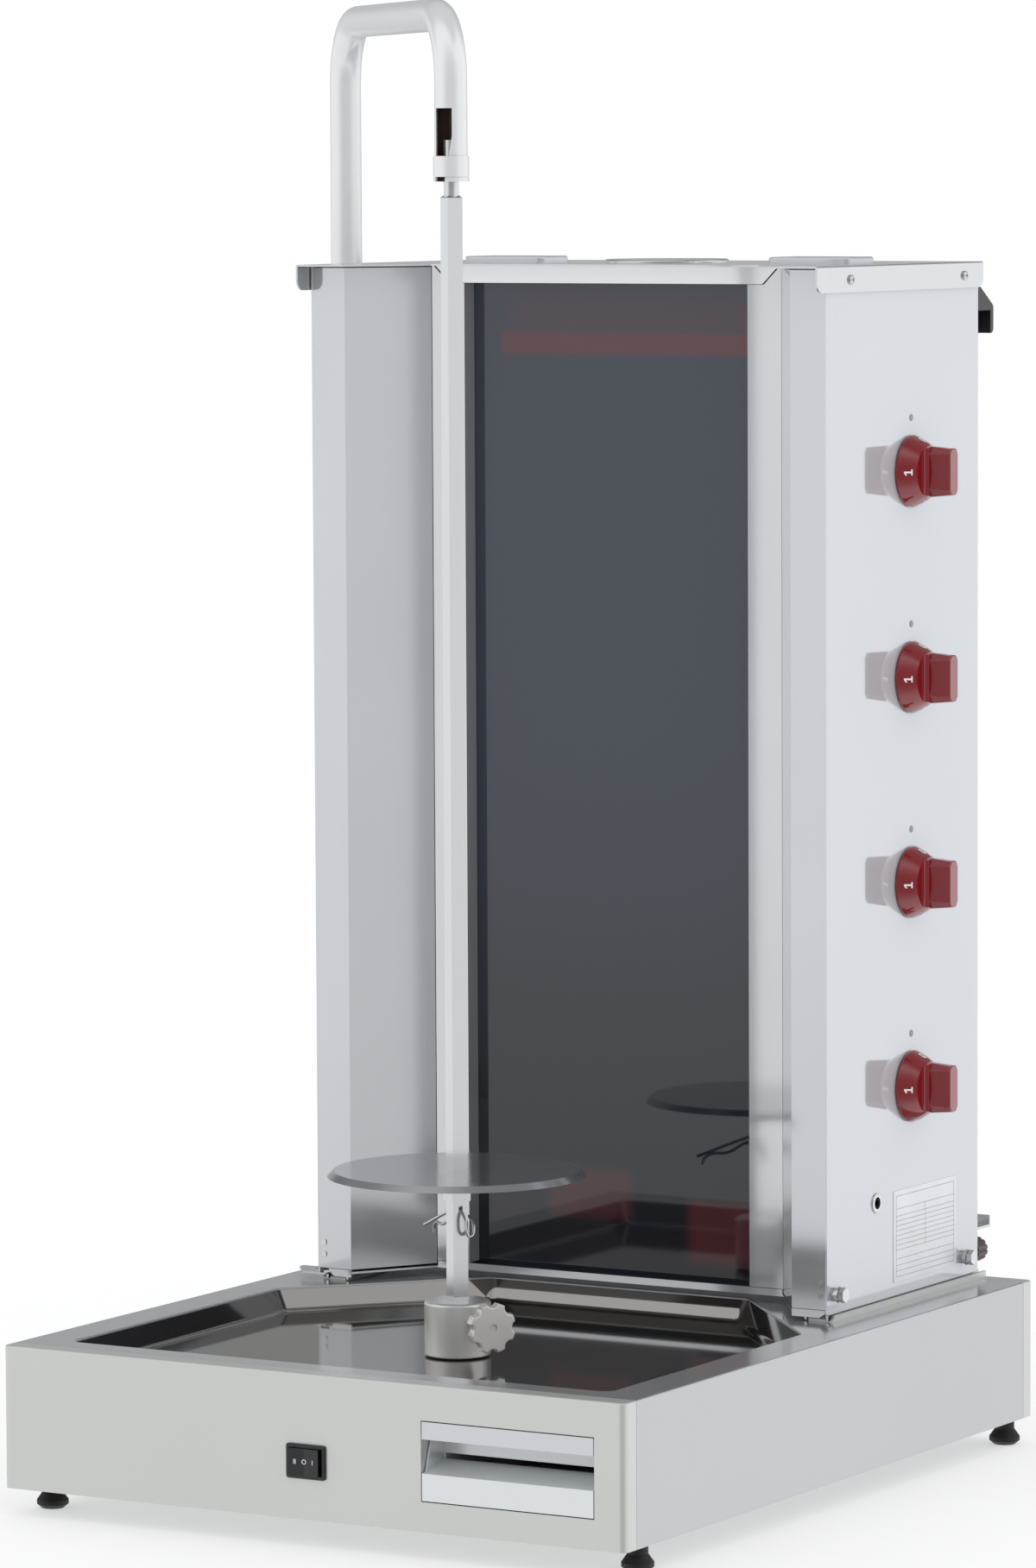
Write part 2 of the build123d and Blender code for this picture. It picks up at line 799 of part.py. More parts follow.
# Hairpin clip in the spit's own axes: out along the star screw, sideways, up
clip_near = rod_side / 2 + clip_wire_r
clip_wide = clip_near + clip_play
clip_points = [
    (-55, 0, -18.5),
    (-36, 0, -11.5),
    (-18, 0, -5),
    (-6, 0, -1.2),
    (5, 0, 0),
    (10, 0.4, -4.5),
    (12.2, 0.9, -11),
    (12.6, 1.7, -16),
    (12.4, 3.7, -18.9),
    (12.2, 6, -18.5),
    (11.6, 7.8, -15),
    (9.8, clip_wide, -10),
    (5.5, clip_wide, -6.6),
    (-1, clip_wide, -5.5),
    (-10, clip_near, -6),
    (-19, 5, -8.5),
    (-26, 4, -13),
    (-33, 3.8, -15.5),
    (-41, 4, -15.5),
    (-47, 4.6, -17.5),
    (-51, 6, -24),
]
clip_plane = spit_plane(clip_z)
clip_path = [clip_plane.from_local_coords(Vector(*point)) for point in clip_points]
with BuildPart() as r_clip:
    with BuildLine() as clip_line:
        Spline(*clip_path)
    with BuildSketch(Plane(origin=clip_line.line @ 0, z_dir=clip_line.line % 0)):
        Circle(clip_wire_r)
    sweep(path=clip_line.line)
save(r_clip, "r_clip")

star_plane = Plane(origin=(0, spit_y, star_z), z_dir=spit_dir)
with BuildPart() as star_knob:
    with BuildSketch(star_plane.offset(star_reach - star_t)):
        Circle(star_r)
        with PolarLocations(star_r + star_notch_out, star_lobes):
            Circle(star_notch_r, mode=Mode.SUBTRACT)
    extrude(amount=star_t)
    star_axis = Axis(origin=(0, spit_y, star_z), direction=spit_dir)
    fillet(star_knob.faces().sort_by(star_axis)[-1].edges(), star_round)
    with BuildSketch(star_plane.offset(star_reach)):
        Circle(star_dimple_r)
    extrude(amount=-star_dimple, mode=Mode.SUBTRACT)
    with BuildSketch(star_plane.offset(star_reach - star_t - star_hub_l)):
        Circle(star_hub_r)
    extrude(amount=star_hub_l)
    with BuildSketch(star_plane.offset(rod_side / 2 + fit)):
        Circle(star_stem_r)
    extrude(amount=star_reach - star_t - rod_side / 2 - fit)
save(star_knob, "star_knob")

# Support arm: one bent tube, its block under the deck, the bush and the lock ring at its end
with BuildPart() as support_arm:
    with BuildLine() as arm_line:
        FilletPolyline((pole_x, pole_y, deck_z - arm_depth), (pole_x, pole_y, arm_z), (0, spit_y, arm_z),
                       (0, spit_y, tube_end), radius=tube_bend_r)
    with BuildSketch(Plane(origin=(pole_x, pole_y, deck_z - arm_depth))):
        Circle(tube_r)
        Circle(tube_r - tube_wall, mode=Mode.SUBTRACT)
    sweep(path=arm_line.line)
    with BuildSketch(Plane(origin=(0, spit_y, tube_end))):
        Circle(tube_stop_r)
        Circle(tube_r - tube_wall, mode=Mode.SUBTRACT)
    extrude(amount=tube_stop_h)
    slot_outline = [
        (-tube_slot / 2, tube_end - cut),
        (tube_slot_low, tube_end - cut),
        (tube_slot / 2, tube_end + tube_slot_taper),
        (tube_slot / 2, tube_end + tube_slot_h),
        (-tube_slot / 2, tube_end + tube_slot_h),
    ]
    add(prism(Plane.XZ.offset(-spit_y), slot_outline, 2 * tube_r), mode=Mode.SUBTRACT)
save(support_arm, "support_arm")

with BuildPart() as arm_socket:
    block(base_sheet + snug - half_w, base_sheet + snug - half_w + arm_block_w, pole_y - arm_block_d / 2,
          pole_y + arm_block_d / 2, deck_z - arm_depth - arm_block_floor, deck_under)
    drill((pole_x, pole_y, deck_z - arm_depth), (0, 0, 1), tube_r + snug, 2 * arm_depth)
save(arm_socket, "arm_socket")

with BuildPart() as arm_bush:
    rod((0, spit_y, tube_end + bush_low), (0, 0, 1), tube_r - tube_wall - snug, arm_bush_h)
    drill((0, spit_y, tube_end), (0, 0, 1), rod_neck_r + running, 2 * arm_bush_h)
save(arm_bush, "arm_bush")

lock_z = tube_end + tube_stop_h + fit
with BuildPart() as lock_ring:
    rod((0, spit_y, lock_z), (0, 0, 1), tube_r + fit + lock_wall, lock_h)
    drill((0, spit_y, lock_z - cut), (0, 0, 1), tube_r + fit, lock_h + 2 * cut)
save(lock_ring, "lock_ring")

# Rails on the deck and the runners under the tower
flange_x1 = tower_in - wing_sheet
flange_x0 = flange_x1 - runner_sheet
rail_x1 = flange_x0 - runner_play
rail_x0 = rail_x1 - rail_w
guide_x = flange_x1 + runner_play
rail_outline = [
    (rail_x0, deck_z),
    (guide_x + guide_w, deck_z),
    (guide_x + guide_w, deck_z + guide_h),
    (guide_x, deck_z + guide_h),
    (guide_x, deck_z + rail_web),
    (rail_x1, deck_z + rail_web),
    (rail_x1, rail_top),
    (rail_x0, rail_top),
]
with BuildPart() as slide_rails:
    for side in (-1, 1):
        add(prism(Plane.XZ.offset(-back(base_d - rail_tail)), mirrored(rail_outline, side),
                  base_d - rail_tail - tower_front - rail_front))
    front_edges = slide_rails.edges().filter_by(Axis.X).group_by(Axis.Y)[0].group_by(Axis.Z)
    chamfer(front_edges[-1] + front_edges[-2], rail_bevel)
save(slide_rails, "slide_rails")

bolt_y = (back(tower_front + bolt_front), back(tower_rear - bolt_rear))
bolt_height = floor_z + bolt_z
bolt_hole = {-1: rivet_shank_r + snug, 1: bolt_r + snug}  # rivets on the left, bolts on the right
ear_y = back(tower_front - ear_front)
ear_outline = [
    (ear_in - tower_half, ear_y),
    (ear_in - tower_half, ear_y + ear_d),
    (-tower_half - ear_out, ear_y + ear_d),
    (-tower_half - ear_out, ear_y + ear_cut_d),
    (ear_cut_w - tower_half - ear_out, ear_y),
]
for side, name in ((-1, "runner_left"), (1, "runner_right")):
    inner = rail_x0 - runner_play
    runner_outline = [
        (flange_x1, rail_top - runner_drop),
        (flange_x1, floor_z + runner_up),
        (flange_x0, floor_z + runner_up),
        (flange_x0, floor_z),
        (inner - runner_sheet, floor_z),
        (inner - runner_sheet, rail_top - runner_drop),
        (inner, rail_top - runner_drop),
        (inner, rail_top + fit),
        (flange_x0, rail_top + fit),
        (flange_x0, rail_top - runner_drop),
    ]
    with BuildPart() as runner:
        add(prism(Plane.XZ.offset(-back(tower_rear - runner_tail)), mirrored(runner_outline, side),
                  tower_d - runner_front - runner_tail))
        for y in bolt_y:
            drill((side * (flange_x0 - cut), y, bolt_height), (side, 0, 0), bolt_hole[side],
                  runner_sheet + 2 * cut)
        if side == -1:
            add(prism(Plane.XY.offset(rail_top + fit), ear_outline, runner_plate))
            drill((-tower_half - ear_hole_out, ear_y + ear_hole_back, rail_top), (0, 0, 1), ear_hole_r,
                  runner_plate + cut)
    save(runner, name)

# Tower floor, with a strip turned down under each wing
floor_half = [
    (0, back(tower_rear - tower_sheet)),
    (flange_x0 - fit, back(tower_rear - tower_sheet)),
    (flange_x0 - fit, back(tower_front)),
    (wing_in, back(tower_front)),
    (column_out, back(column_front)),
    (0, back(column_front)),
]
lip_top = floor_z - floor_lip_down + floor_lip_h
lip_low = floor_z - floor_lip_down
lip_plane = Plane.XZ.offset(-back(tower_front + tower_sheet))
with BuildPart() as tower_floor:
    for side, lip_end in ((-1, tower_half - ear_in - seam), (1, tower_in - fit)):
        lip_outline = [
            (wing_in, lip_low),
            (lip_end - floor_lip_cut, lip_low),
            (lip_end, lip_low + floor_lip_rise),
            (lip_end, lip_top),
            (wing_in, lip_top),
        ]
        add(prism(Plane.XY.offset(floor_z), mirrored(floor_half, side), tower_sheet))
        add(prism(lip_plane, mirrored(lip_outline, side), tower_sheet))
save(tower_floor, "tower_floor")

# Side and rear panels
lip_screw_z = roof_top - lip_screw_drop
lip_screw_y = (back(tower_front + lip_screw_front), back(tower_rear - lip_screw_rear))
bush_y = knob_y - bush_before
bush_z = floor_z + bush_h
for side, name in ((-1, "left_side_panel"), (1, "right_side_panel")):
    with BuildPart() as panel:
        block(min(side * tower_in, side * tower_half), max(side * tower_in, side * tower_half),
              back(tower_front), back(tower_rear), floor_z, roof_z)
        hole_x = side * (tower_in - cut)
        hole_l = tower_sheet + 2 * cut
        for y in bolt_y:
            drill((hole_x, y, bolt_height), (side, 0, 0), bolt_hole[side], hole_l)
        for y in lip_screw_y:
            drill((hole_x, y, lip_screw_z), (side, 0, 0), screw_r + snug, hole_l)
        if side == 1:
            for z in heater_z:
                drill((hole_x, knob_y, z), (1, 0, 0), spindle_hole, hole_l)
            drill((hole_x, bush_y, bush_z), (1, 0, 0), bush_neck_r, hole_l)
    save(panel, name)

gland_x = tower_half - gland_side
gland_height = floor_z + gland_z
with BuildPart() as tower_rear_panel:
    block(snug - tower_in, tower_in - snug, back(tower_rear - tower_sheet), back(tower_rear), floor_z, roof_z)
    drill((gland_x, back(tower_rear + cut), gland_height), (0, -1, 0), gland_thread_r + snug,
          tower_sheet + 2 * cut)
save(tower_rear_panel, "tower_rear_panel")

# Wings: side return, front face and angled face of one folded sheet
wing_z = floor_z + wing_low
wing_line = [
    (tower_in, back(tower_front + wing_return)),
    (tower_in, back(tower_front)),
    (wing_in, back(tower_front)),
    (column_out + seam, back(column_front - seam)),
]
rivet_x = tower_half - rivet_in
rivet_z = (floor_z + rivet_low, floor_z + rivet_high)
for side, name in ((-1, "left_wing"), (1, "right_wing")):
    with BuildPart() as wing:
        add(prism(Plane.XY.offset(wing_z), mirrored(folded(wing_line, -wing_sheet), side),
                  roof_z - wing_slit - wing_z))
        hole_l = wing_sheet + 2 * cut
        drill((side * (tower_in + cut), bolt_y[0], bolt_height), (-side, 0, 0), bolt_hole[side], hole_l)
        for z in rivet_z:
            drill((side * rivet_x, back(tower_front - cut), z), (0, 1, 0), rivet_shank_r + snug, hole_l)
    save(wing, name)

# Glass frame: two columns, a mitred header and a bottom rail
column_line = [
    (column_in, back(glass_front - fit)),
    (column_in, back(column_front)),
    (column_out, back(column_front)),
    (column_out, back(column_front + column_return)),
]
header_z = roof_z - header_h
mitre_x = column_in + mitre_in
mitre_low = header_z - seam
mitre_rise = header_h + seam + cut
mitre_cut = [
    (0, mitre_low),
    (mitre_x + mitre_gap, mitre_low),
    (mitre_x + mitre_gap + mitre_rise, mitre_low + mitre_rise),
    (0, mitre_low + mitre_rise),
]
for side, name in ((-1, "left_frame_column"), (1, "right_frame_column")):
    with BuildPart() as column:
        add(prism(Plane.XY.offset(floor_z + column_low), mirrored(folded(column_line, wing_sheet), side),
                  roof_z - floor_z - column_low))
        mitre_plane = Plane.XZ.offset(-back(glass_front))
        add(prism(mitre_plane, mirrored(mitre_cut, side), glass_set + cut), mode=Mode.SUBTRACT)
    save(column, name)

header_outline = [
    (-mitre_x, header_z),
    (mitre_x, header_z),
    (mitre_x + header_h, roof_z),
    (-mitre_x - header_h, roof_z),
]
with BuildPart() as frame_header:
    add(prism(Plane.XZ.offset(-back(column_front + wing_sheet)), header_outline, wing_sheet))
    block(fit - column_in, column_in - fit, back(column_front), back(glass_front - fit),
          header_z, header_z + wing_sheet)
save(frame_header, "frame_header")

with BuildPart() as frame_bottom_rail:
    block(seam - column_out, column_out - seam, back(column_front), back(column_front + wing_sheet),
          floor_top, floor_z + column_low - seam)
    block(seam - column_out, column_out - seam, back(column_front), back(glass_front + glass_t),
          floor_top, floor_top + wing_sheet)
save(frame_bottom_rail, "frame_bottom_rail")

glass_half = column_in + glass_edge
with BuildPart() as glass_panel:
    block(-glass_half, glass_half, back(glass_front), back(glass_front + glass_t),
          floor_z + glass_low, roof_z - glass_top)
save(glass_panel, "glass_panel")

# Roof: plate following the front of the tower, side lips, low cap and two louvred vents
lip_in = tower_half + roof_gap
lip_out = lip_in + roof_sheet
roof_y0 = back(tower_front - roof_over)
roof_y1 = back(tower_rear + roof_over_rear)
front_line = [
    (lip_out, back(tower_front)),
    (wing_in, back(tower_front)),
    (column_out, back(column_front)),
    (0, back(column_front)),
]
roof_half = shifted(front_line, roof_over) + [(0, roof_y1), (lip_out, roof_y1)]
vent_y = back(tower_rear - roof_mid)


def vent_block(side, rim, z0, z1, mode=Mode.ADD):
    """Block over a roof vent, smaller than the vent by a rim all round, in the open builder."""
    x0 = side * vent_x - vent_w / 2 + rim
    y0 = vent_y - vent_d / 2 + rim
    block(x0, x0 + vent_w - 2 * rim, y0, y0 + vent_d - 2 * rim, z0, z1, mode)


with BuildPart() as roof:
    for side in (-1, 1):
        add(prism(Plane.XY.offset(roof_z), mirrored(roof_half, side), roof_sheet))
        with BuildSketch(Plane.YZ.offset(min(side * lip_in, side * lip_out))):
            with Locations(((roof_y0 + roof_y1) / 2, roof_top - roof_lip_h)):
                Rectangle(roof_y1 - roof_y0, roof_lip_h, align=(Align.CENTER, Align.MIN))
        extrude(amount=roof_sheet)
    fillet(roof.edges().filter_by(Axis.X).group_by(Axis.Z)[0], roof_lip_r)
    fillet(roof.edges().filter_by(Axis.Y).group_by(Axis.Z)[-1], roof_sheet)
    rod((0, vent_y, roof_top), (0, 0, 1), roof_cap_r, roof_cap_h)
    fillet(roof.faces().sort_by(Axis.Z)[-1].edges(), roof_cap_round)
    for side in (-1, 1):
        vent_block(side, vent_rim, roof_z - cut, roof_top + cut, Mode.SUBTRACT)
        for y in lip_screw_y:
            drill((side * (lip_in - cut), y, lip_screw_z), (side, 0, 0), screw_r + snug, roof_sheet + 2 * cut)
save(roof, "roof")

vent_pitch = (vent_d - 2 * vent_rim) / vent_slots
with BuildPart() as roof_vents:
    for side in (-1, 1):
        vent_block(side, 0, roof_top, roof_top + vent_h)
    fillet(roof_vents.edges().filter_by(Axis.Z), vent_corner_r)
    fillet(roof_vents.faces().group_by(Axis.Z)[-1].edges(), vent_round)
    for side in (-1, 1):
        vent_block(side, vent_rim, roof_top - cut, roof_top + vent_h - vent_sheet, Mode.SUBTRACT)
        for n in range(vent_slots):
            y = vent_y + (n - (vent_slots - 1) / 2) * vent_pitch
            block(side * vent_x - vent_slot_l / 2, side * vent_x + vent_slot_l / 2, y - vent_slot / 2,
                  y + vent_slot / 2, roof_top, roof_top + vent_h + cut, Mode.SUBTRACT)
save(roof_vents, "roof_vents")

# Heaters behind the glass and the switches behind the knobs
tray_y0 = back(glass_front + glass_t + heater_gap)
heater_half = column_out - wing_sheet - heater_gap
element_y = tray_y0 + element_deep
with BuildPart() as heater_trays:
    for z in heater_z:
        block(-heater_half, heater_half, tray_y0, tray_y0 + heater_d, z - heater_h / 2, z + heater_h / 2)
        block(heater_sheet - heater_half, heater_half - heater_sheet,
              tray_y0 - cut, tray_y0 + heater_d - heater_sheet,
              z + heater_sheet - heater_h / 2, z + heater_h / 2 - heater_sheet, Mode.SUBTRACT)
        for n in (0, element_runs - 1):
            run_z = z + (n - (element_runs - 1) / 2) * element_pitch
            drill((-heater_half - cut, element_y, run_z), (1, 0, 0), element_r + snug, heater_sheet + 2 * cut)
save(heater_trays, "heater_trays")


def heater_element():
    """One tube bent to and fro, round the origin in the XZ plane."""
    heights = [(n - (element_runs - 1) / 2) * element_pitch for n in range(element_runs)]
    with BuildPart() as element:
        with BuildLine(Plane.XZ) as bends:
            start_x = -heater_half
            for n, height in enumerate(heights):
                last = n == element_runs - 1
                way = -1 if n % 2 else 1
                end_x = way * (heater_half if last else element_half_w)
                Line((start_x, height), (end_x, height))
                if not last:
                    bend_x = end_x + way * element_pitch / 2
                    ThreePointArc((end_x, height), (bend_x, height + element_pitch / 2),
                                  (end_x, height + element_pitch))
                start_x = end_x
        with BuildSketch(Plane(origin=(-heater_half, 0, heights[0]), z_dir=(1, 0, 0))):
            Circle(element_r)
        sweep(path=bends.line)
    return element.part


with BuildPart() as heater_elements:
    with Locations(*[(0, element_y, z) for z in heater_z]):
        add(heater_element())
save(heater_elements, "heater_elements")

with BuildPart() as selector_switches:
    for z in heater_z:
        block(tower_in - selector_d, tower_in, knob_y - selector_w / 2, knob_y + selector_w / 2,
              z - selector_w / 2, z + selector_w / 2)
        drill((tower_half + knob_off - spindle_l - cut, knob_y, z), (1, 0, 0), spindle_r + snug,
              2 * spindle_l)
save(selector_switches, "selector_switches")

with BuildPart() as knob:
    with BuildSketch(Plane.XZ):
        with BuildLine():
            Polyline((knob_neck_r, knob_neck), (knob_face_r, knob_top), (0, knob_top), (0, knob_off),
                     (knob_r, knob_off), (knob_r, knob_off + knob_rim))
            SagittaArc((knob_r, knob_off + knob_rim), (knob_neck_r, knob_neck), -knob_hollow)
        make_face()
    revolve(axis=Axis.Z)
    for side in (-1, 1):
        with BuildSketch(Plane.YZ.offset(-knob_r)):
            with BuildLine():
                Polyline((side * knob_foot_t / 2, knob_floor + knob_scoop_r),
                         (side * knob_grip_t / 2, knob_top + cut),
                         (side * 2 * knob_r, knob_top + cut), (side * 2 * knob_r, knob_floor),
                         (side * (knob_foot_t / 2 + knob_scoop_r), knob_floor))
                RadiusArc((side * (knob_foot_t / 2 + knob_scoop_r), knob_floor),
                          (side * knob_foot_t / 2, knob_floor + knob_scoop_r), side * knob_scoop_r)
            make_face()
        extrude(amount=2 * knob_r, mode=Mode.SUBTRACT)
    for end, side in ((-1, -1), (-1, 1), (1, -1), (1, 1)):
        with BuildSketch(Plane.XY.offset(knob_floor + knob_scoop_r)):
            with BuildLine():
                Polyline((end * knob_bevel_x, side * knob_foot_t / 2), (end * knob_r, side * knob_foot_t / 2),
                         (end * knob_r, side * knob_bevel_y), close=True)
            make_face()
        extrude(amount=knob_top, mode=Mode.SUBTRACT)
    fillet(knob.faces().sort_by(Axis.Z)[-1].edges(), knob_round)
    rod((0, 0, knob_off - spindle_l), (0, 0, 1), spindle_r, spindle_l + cut)

for n, z in enumerate(heater_z):
    with BuildPart() as placed_knob:
        with Locations(Plane(origin=(tower_half, knob_y, z), x_dir=(0, 0, 1), z_dir=(1, 0, 0))):
            add(knob.part)
    save(placed_knob, f"knob_{n + 1}")

with BuildPart() as index_dots:
    for z in heater_z:
        rod((tower_half, knob_y, z + dot_above), (1, 0, 0), dot_r, dot_t)
save(index_dots, "index_dots")

with BuildPart() as panel_bush:
    rod((tower_half, bush_y, bush_z), (1, 0, 0), bush_r, bush_t)
    fillet(panel_bush.edges().group_by(Axis.X)[-1], bush_round)
    rod((tower_in, bush_y, bush_z), (1, 0, 0), bush_neck_r, tower_sheet)
    drill((tower_in - cut, bush_y, bush_z), (1, 0, 0), bush_hole_r, tower_sheet + bush_t + 2 * cut)
save(panel_bush, "panel_bush")

plate_y = knob_y + plate_after
with BuildPart() as rating_plate:
    block(tower_half, tower_half + plate_t, plate_y - plate_w / 2, plate_y + plate_w / 2,
          floor_z + plate_z - plate_h / 2, floor_z + plate_z + plate_h / 2)
save(rating_plate, "rating_plate")

with BuildPart() as terminal_block:
    block(-terminal_w / 2, terminal_w / 2, back(tower_rear - tower_sheet - terminal_d),
          back(tower_rear - tower_sheet), floor_top, floor_top + terminal_h)
save(terminal_block, "terminal_block")

# Fasteners
washer_outline = [
    (bolt_r + snug, 0),
    (washer_r, 0),
    (washer_r, washer_l / 2 - fit),
    (washer_groove_r, washer_l / 2 - fit),
    (washer_groove_r, washer_l / 2),
    (washer_r, washer_l / 2),
    (washer_r, washer_l),
    (washer_flange_r, washer_l),
    (washer_flange_r, washer_l + washer_flange),
    (bolt_r + snug, washer_l + washer_flange),
]
washer = turned(washer_outline)
with BuildPart() as spring_washers:
    for y in bolt_y:
        with Locations(Plane(origin=(tower_half, y, bolt_height), z_dir=(1, 0, 0))):
            add(washer)
save(spring_washers, "spring_washers")

bolt_seat = tower_half + washer_l + washer_flange
with BuildPart() as runner_bolts:
    for y in bolt_y:
        with BuildSketch(Plane(origin=(bolt_seat, y, bolt_height), x_dir=(0, 0, 1), z_dir=(1, 0, 0))):
            RegularPolygon(bolt_af / 2, 6, major_radius=False)
        extrude(amount=bolt_head)
        rod((bolt_seat, y, bolt_height), (-1, 0, 0), bolt_r, bolt_seat - tower_half + bolt_in)
save(runner_bolts, "runner_bolts")

with BuildPart() as screw:
    with BuildSketch(Plane.XZ):
        with BuildLine():
            Polyline((0, screw_head), (0, 0), (screw_head_r, 0), (screw_head_r, screw_wall))
            EllipticalCenterArc((0, screw_wall), screw_head_r, screw_head - screw_wall, 0, arc_size=90)
        make_face()
    revolve(axis=Axis.Z)
    for length, width in ((screw_recess_l, screw_recess_w), (screw_recess_w, screw_recess_l)):
        block(-length / 2, length / 2, -width / 2, width / 2, screw_head - screw_recess, screw_head + cut,
              Mode.SUBTRACT)
    rod((0, 0, 0), (0, 0, -1), screw_r, screw_l)

with BuildPart() as panel_screws:
    for side in (-1, 1):
        for y in lip_screw_y:
            with Locations(Plane(origin=(side * lip_out, y, lip_screw_z), z_dir=(side, 0, 0))):
                add(screw.part)
        for z in rivet_z:
            rod((side * rivet_x, back(tower_front), z), (0, -1, 0), rivet_r, rivet_t)
            rod((side * rivet_x, back(tower_front), z), (0, 1, 0), rivet_shank_r, wing_sheet)
    for y in bolt_y:
        rod((-tower_half, y, bolt_height), (-1, 0, 0), rivet_r, rivet_t)
        rod((-tower_half, y, bolt_height), (1, 0, 0), rivet_shank_r, tower_half - flange_x0)
save(panel_screws, "panel_screws")

# Rear of the tower: two grips, a bent hook and the cable gland
handle_top = roof_top - handle_drop
handle_low = handle_top - handle_h
rear_y = back(tower_rear)
handle_outline = [
    (rear_y, handle_top),
    (rear_y, handle_low),
    (rear_y + handle_out, handle_low),
    (rear_y + handle_out, handle_top - handle_slant),
]
with BuildPart() as rear_handles:
    for start in (handle_side - tower_half, tower_half - handle_side - handle_w):
        add(prism(Plane.YZ.offset(start), handle_outline, handle_w))
    fillet(rear_handles.edges().filter_by(Axis.X).group_by(Axis.Y)[-1], handle_round)
    block(-tower_half, tower_half, rear_y + handle_wall, rear_y + handle_out - handle_lip, handle_low - cut,
          handle_low + handle_deep, Mode.SUBTRACT)
save(rear_handles, "rear_handles")

hook_height = floor_z + hook_z
hook_x = tower_half - hook_side - hook_w
hook_line = [
    (rear_y, hook_height - hook_flange),
    (rear_y, hook_height),
    (rear_y + hook_out, hook_height),
    (rear_y + hook_out, hook_height + hook_end),
]
with BuildPart() as cable_hook:
    add(prism(Plane.YZ.offset(hook_x), folded(hook_line, -hook_t), hook_w))
save(cable_hook, "cable_hook")

gland_plane = Plane(origin=(gland_x, rear_y, gland_height), x_dir=(1, 0, 0), z_dir=(0, 1, 0))
with BuildPart() as cable_gland:
    with BuildSketch(gland_plane):
        RegularPolygon(gland_r, 6)
    extrude(amount=gland_hex)
    with BuildSketch(gland_plane.offset(gland_hex)):
        Circle(gland_r)
        with PolarLocations(gland_r, gland_ribs):
            Circle(gland_groove_r, mode=Mode.SUBTRACT)
    extrude(amount=gland_out - gland_hex)
    rod((gland_x, rear_y, gland_height), (0, -1, 0), gland_thread_r, gland_thread_l)
    drill((gland_x, rear_y - gland_thread_l - cut, gland_height), (0, 1, 0), gland_bore, 2 * gland_out)
save(cable_gland, "cable_gland")
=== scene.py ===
"""Looks of the electric doner kebab grill: finishes, small printed marks, studio and camera.

Metres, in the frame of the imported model: +X right, -Y front, +Z up, origin on the floor.
"""
import math

import bmesh
import bpy
from mathutils import Matrix, Vector
from mathutils.bvhtree import BVHTree


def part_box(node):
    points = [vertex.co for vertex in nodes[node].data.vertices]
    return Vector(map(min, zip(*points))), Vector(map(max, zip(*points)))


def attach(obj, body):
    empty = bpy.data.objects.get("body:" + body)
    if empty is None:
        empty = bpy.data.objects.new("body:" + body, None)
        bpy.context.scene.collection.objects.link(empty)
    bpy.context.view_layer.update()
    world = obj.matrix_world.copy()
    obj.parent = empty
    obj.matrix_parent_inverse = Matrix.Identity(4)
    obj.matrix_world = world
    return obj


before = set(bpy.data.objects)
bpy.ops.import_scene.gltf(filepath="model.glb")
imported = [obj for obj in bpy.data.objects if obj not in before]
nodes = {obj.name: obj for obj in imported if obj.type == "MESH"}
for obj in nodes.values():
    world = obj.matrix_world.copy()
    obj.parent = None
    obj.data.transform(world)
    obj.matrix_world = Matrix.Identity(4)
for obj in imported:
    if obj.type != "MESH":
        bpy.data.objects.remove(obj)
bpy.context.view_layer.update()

MM = 0.001

# Camera, fitted to the photograph
CAMERA_PLACE = Vector((2.7092, -4.64095, 0.9857))
CAMERA_YAW = 30.39
CAMERA_PITCH = 4.95
CAMERA_ROLL = -0.28
FOCAL_PIXELS = 8410.46
IMAGE_WIDTH = 1200
IMAGE_HEIGHT = 1817
SENSOR = 36.0
CAMERA_REACH = 200.0

# Studio: the floor and the background are lit evenly; what shines in the steel is shaped
FLOOR_HALF = 60.0
FLOOR_TONE = (0.72, 0.72, 0.72)
FLOOR_GLOW = 0.5
LIGHT = 1.06
LIGHT_TINT = (0.99, 0.995, 1.0, 1.0)
CAMERA_SIDE = (0.506, -0.862, 0.0)
CAMERA_SIDE_DIM = 0.3
CAMERA_SIDE_SPREAD = (0.45, 1.0)
FAR_SIDE_DIM = 0.45
FAR_SIDE_SPREAD = (0.55, 1.0)
OVERHEAD_DIM = 0.3
OVERHEAD_FROM = (0.24, 0.12)
OVERHEAD_BACK = (-0.2, 0.2)
LOW_RIGHT_FROM = (0.4, 0.2)
LOW_RIGHT_TOP = (0.75, 0.07)
RIM_SIDE = (0.506, 0.862, 0.0)
RIM_LIGHT = 1.2
RIM_SPREAD = (0.8, 0.97)

# Grain and cloud of the finishes
SHEET_CLOUD = 6.0
SHEET_GRAIN = 60.0
MOULD_CLOUD = 30.0
SKIN_SMOOTHEST = 0.9
SKIN_ROUGHEST = 1.15
RELIEF_DEPTH = 0.1 * MM
COAT_IOR = 1.55

# Printed marks
PRINT_RAISE = 0.1 * MM
PRINT_DROP = 3.0 * MM
LETTER_STEPS = 6
NUMERAL_SIZE = 9.0 * MM
NUMERAL_BOLD = 0.22 * MM
NUMERAL_OUT = 22.9 * MM
NUMERAL_HEIGHT = 9.4 * MM
NUMERAL_ONE = ((-0.24, -0.36), (0.27, -0.36), (0.27, -0.24), (0.09, -0.24), (0.09, 0.36), (-0.06, 0.36),
               (-0.25, 0.22), (-0.25, 0.08), (-0.06, 0.19), (-0.06, -0.24), (-0.24, -0.24))
SKIRT_OUTWARD = 0.487
SKIRT_DOWN = -0.873
ROCKER_MARK_SIZE = 5.0 * MM
ROCKER_MARK_STEP = 7.4 * MM
PLATE_EDGE = 4.0 * MM
PLATE_LINE = 0.4 * MM
PLATE_ROWS = (0.16, 0.25, 0.31, 0.37, 0.43, 0.49, 0.55, 0.61, 0.67, 0.78, 0.86, 0.93)


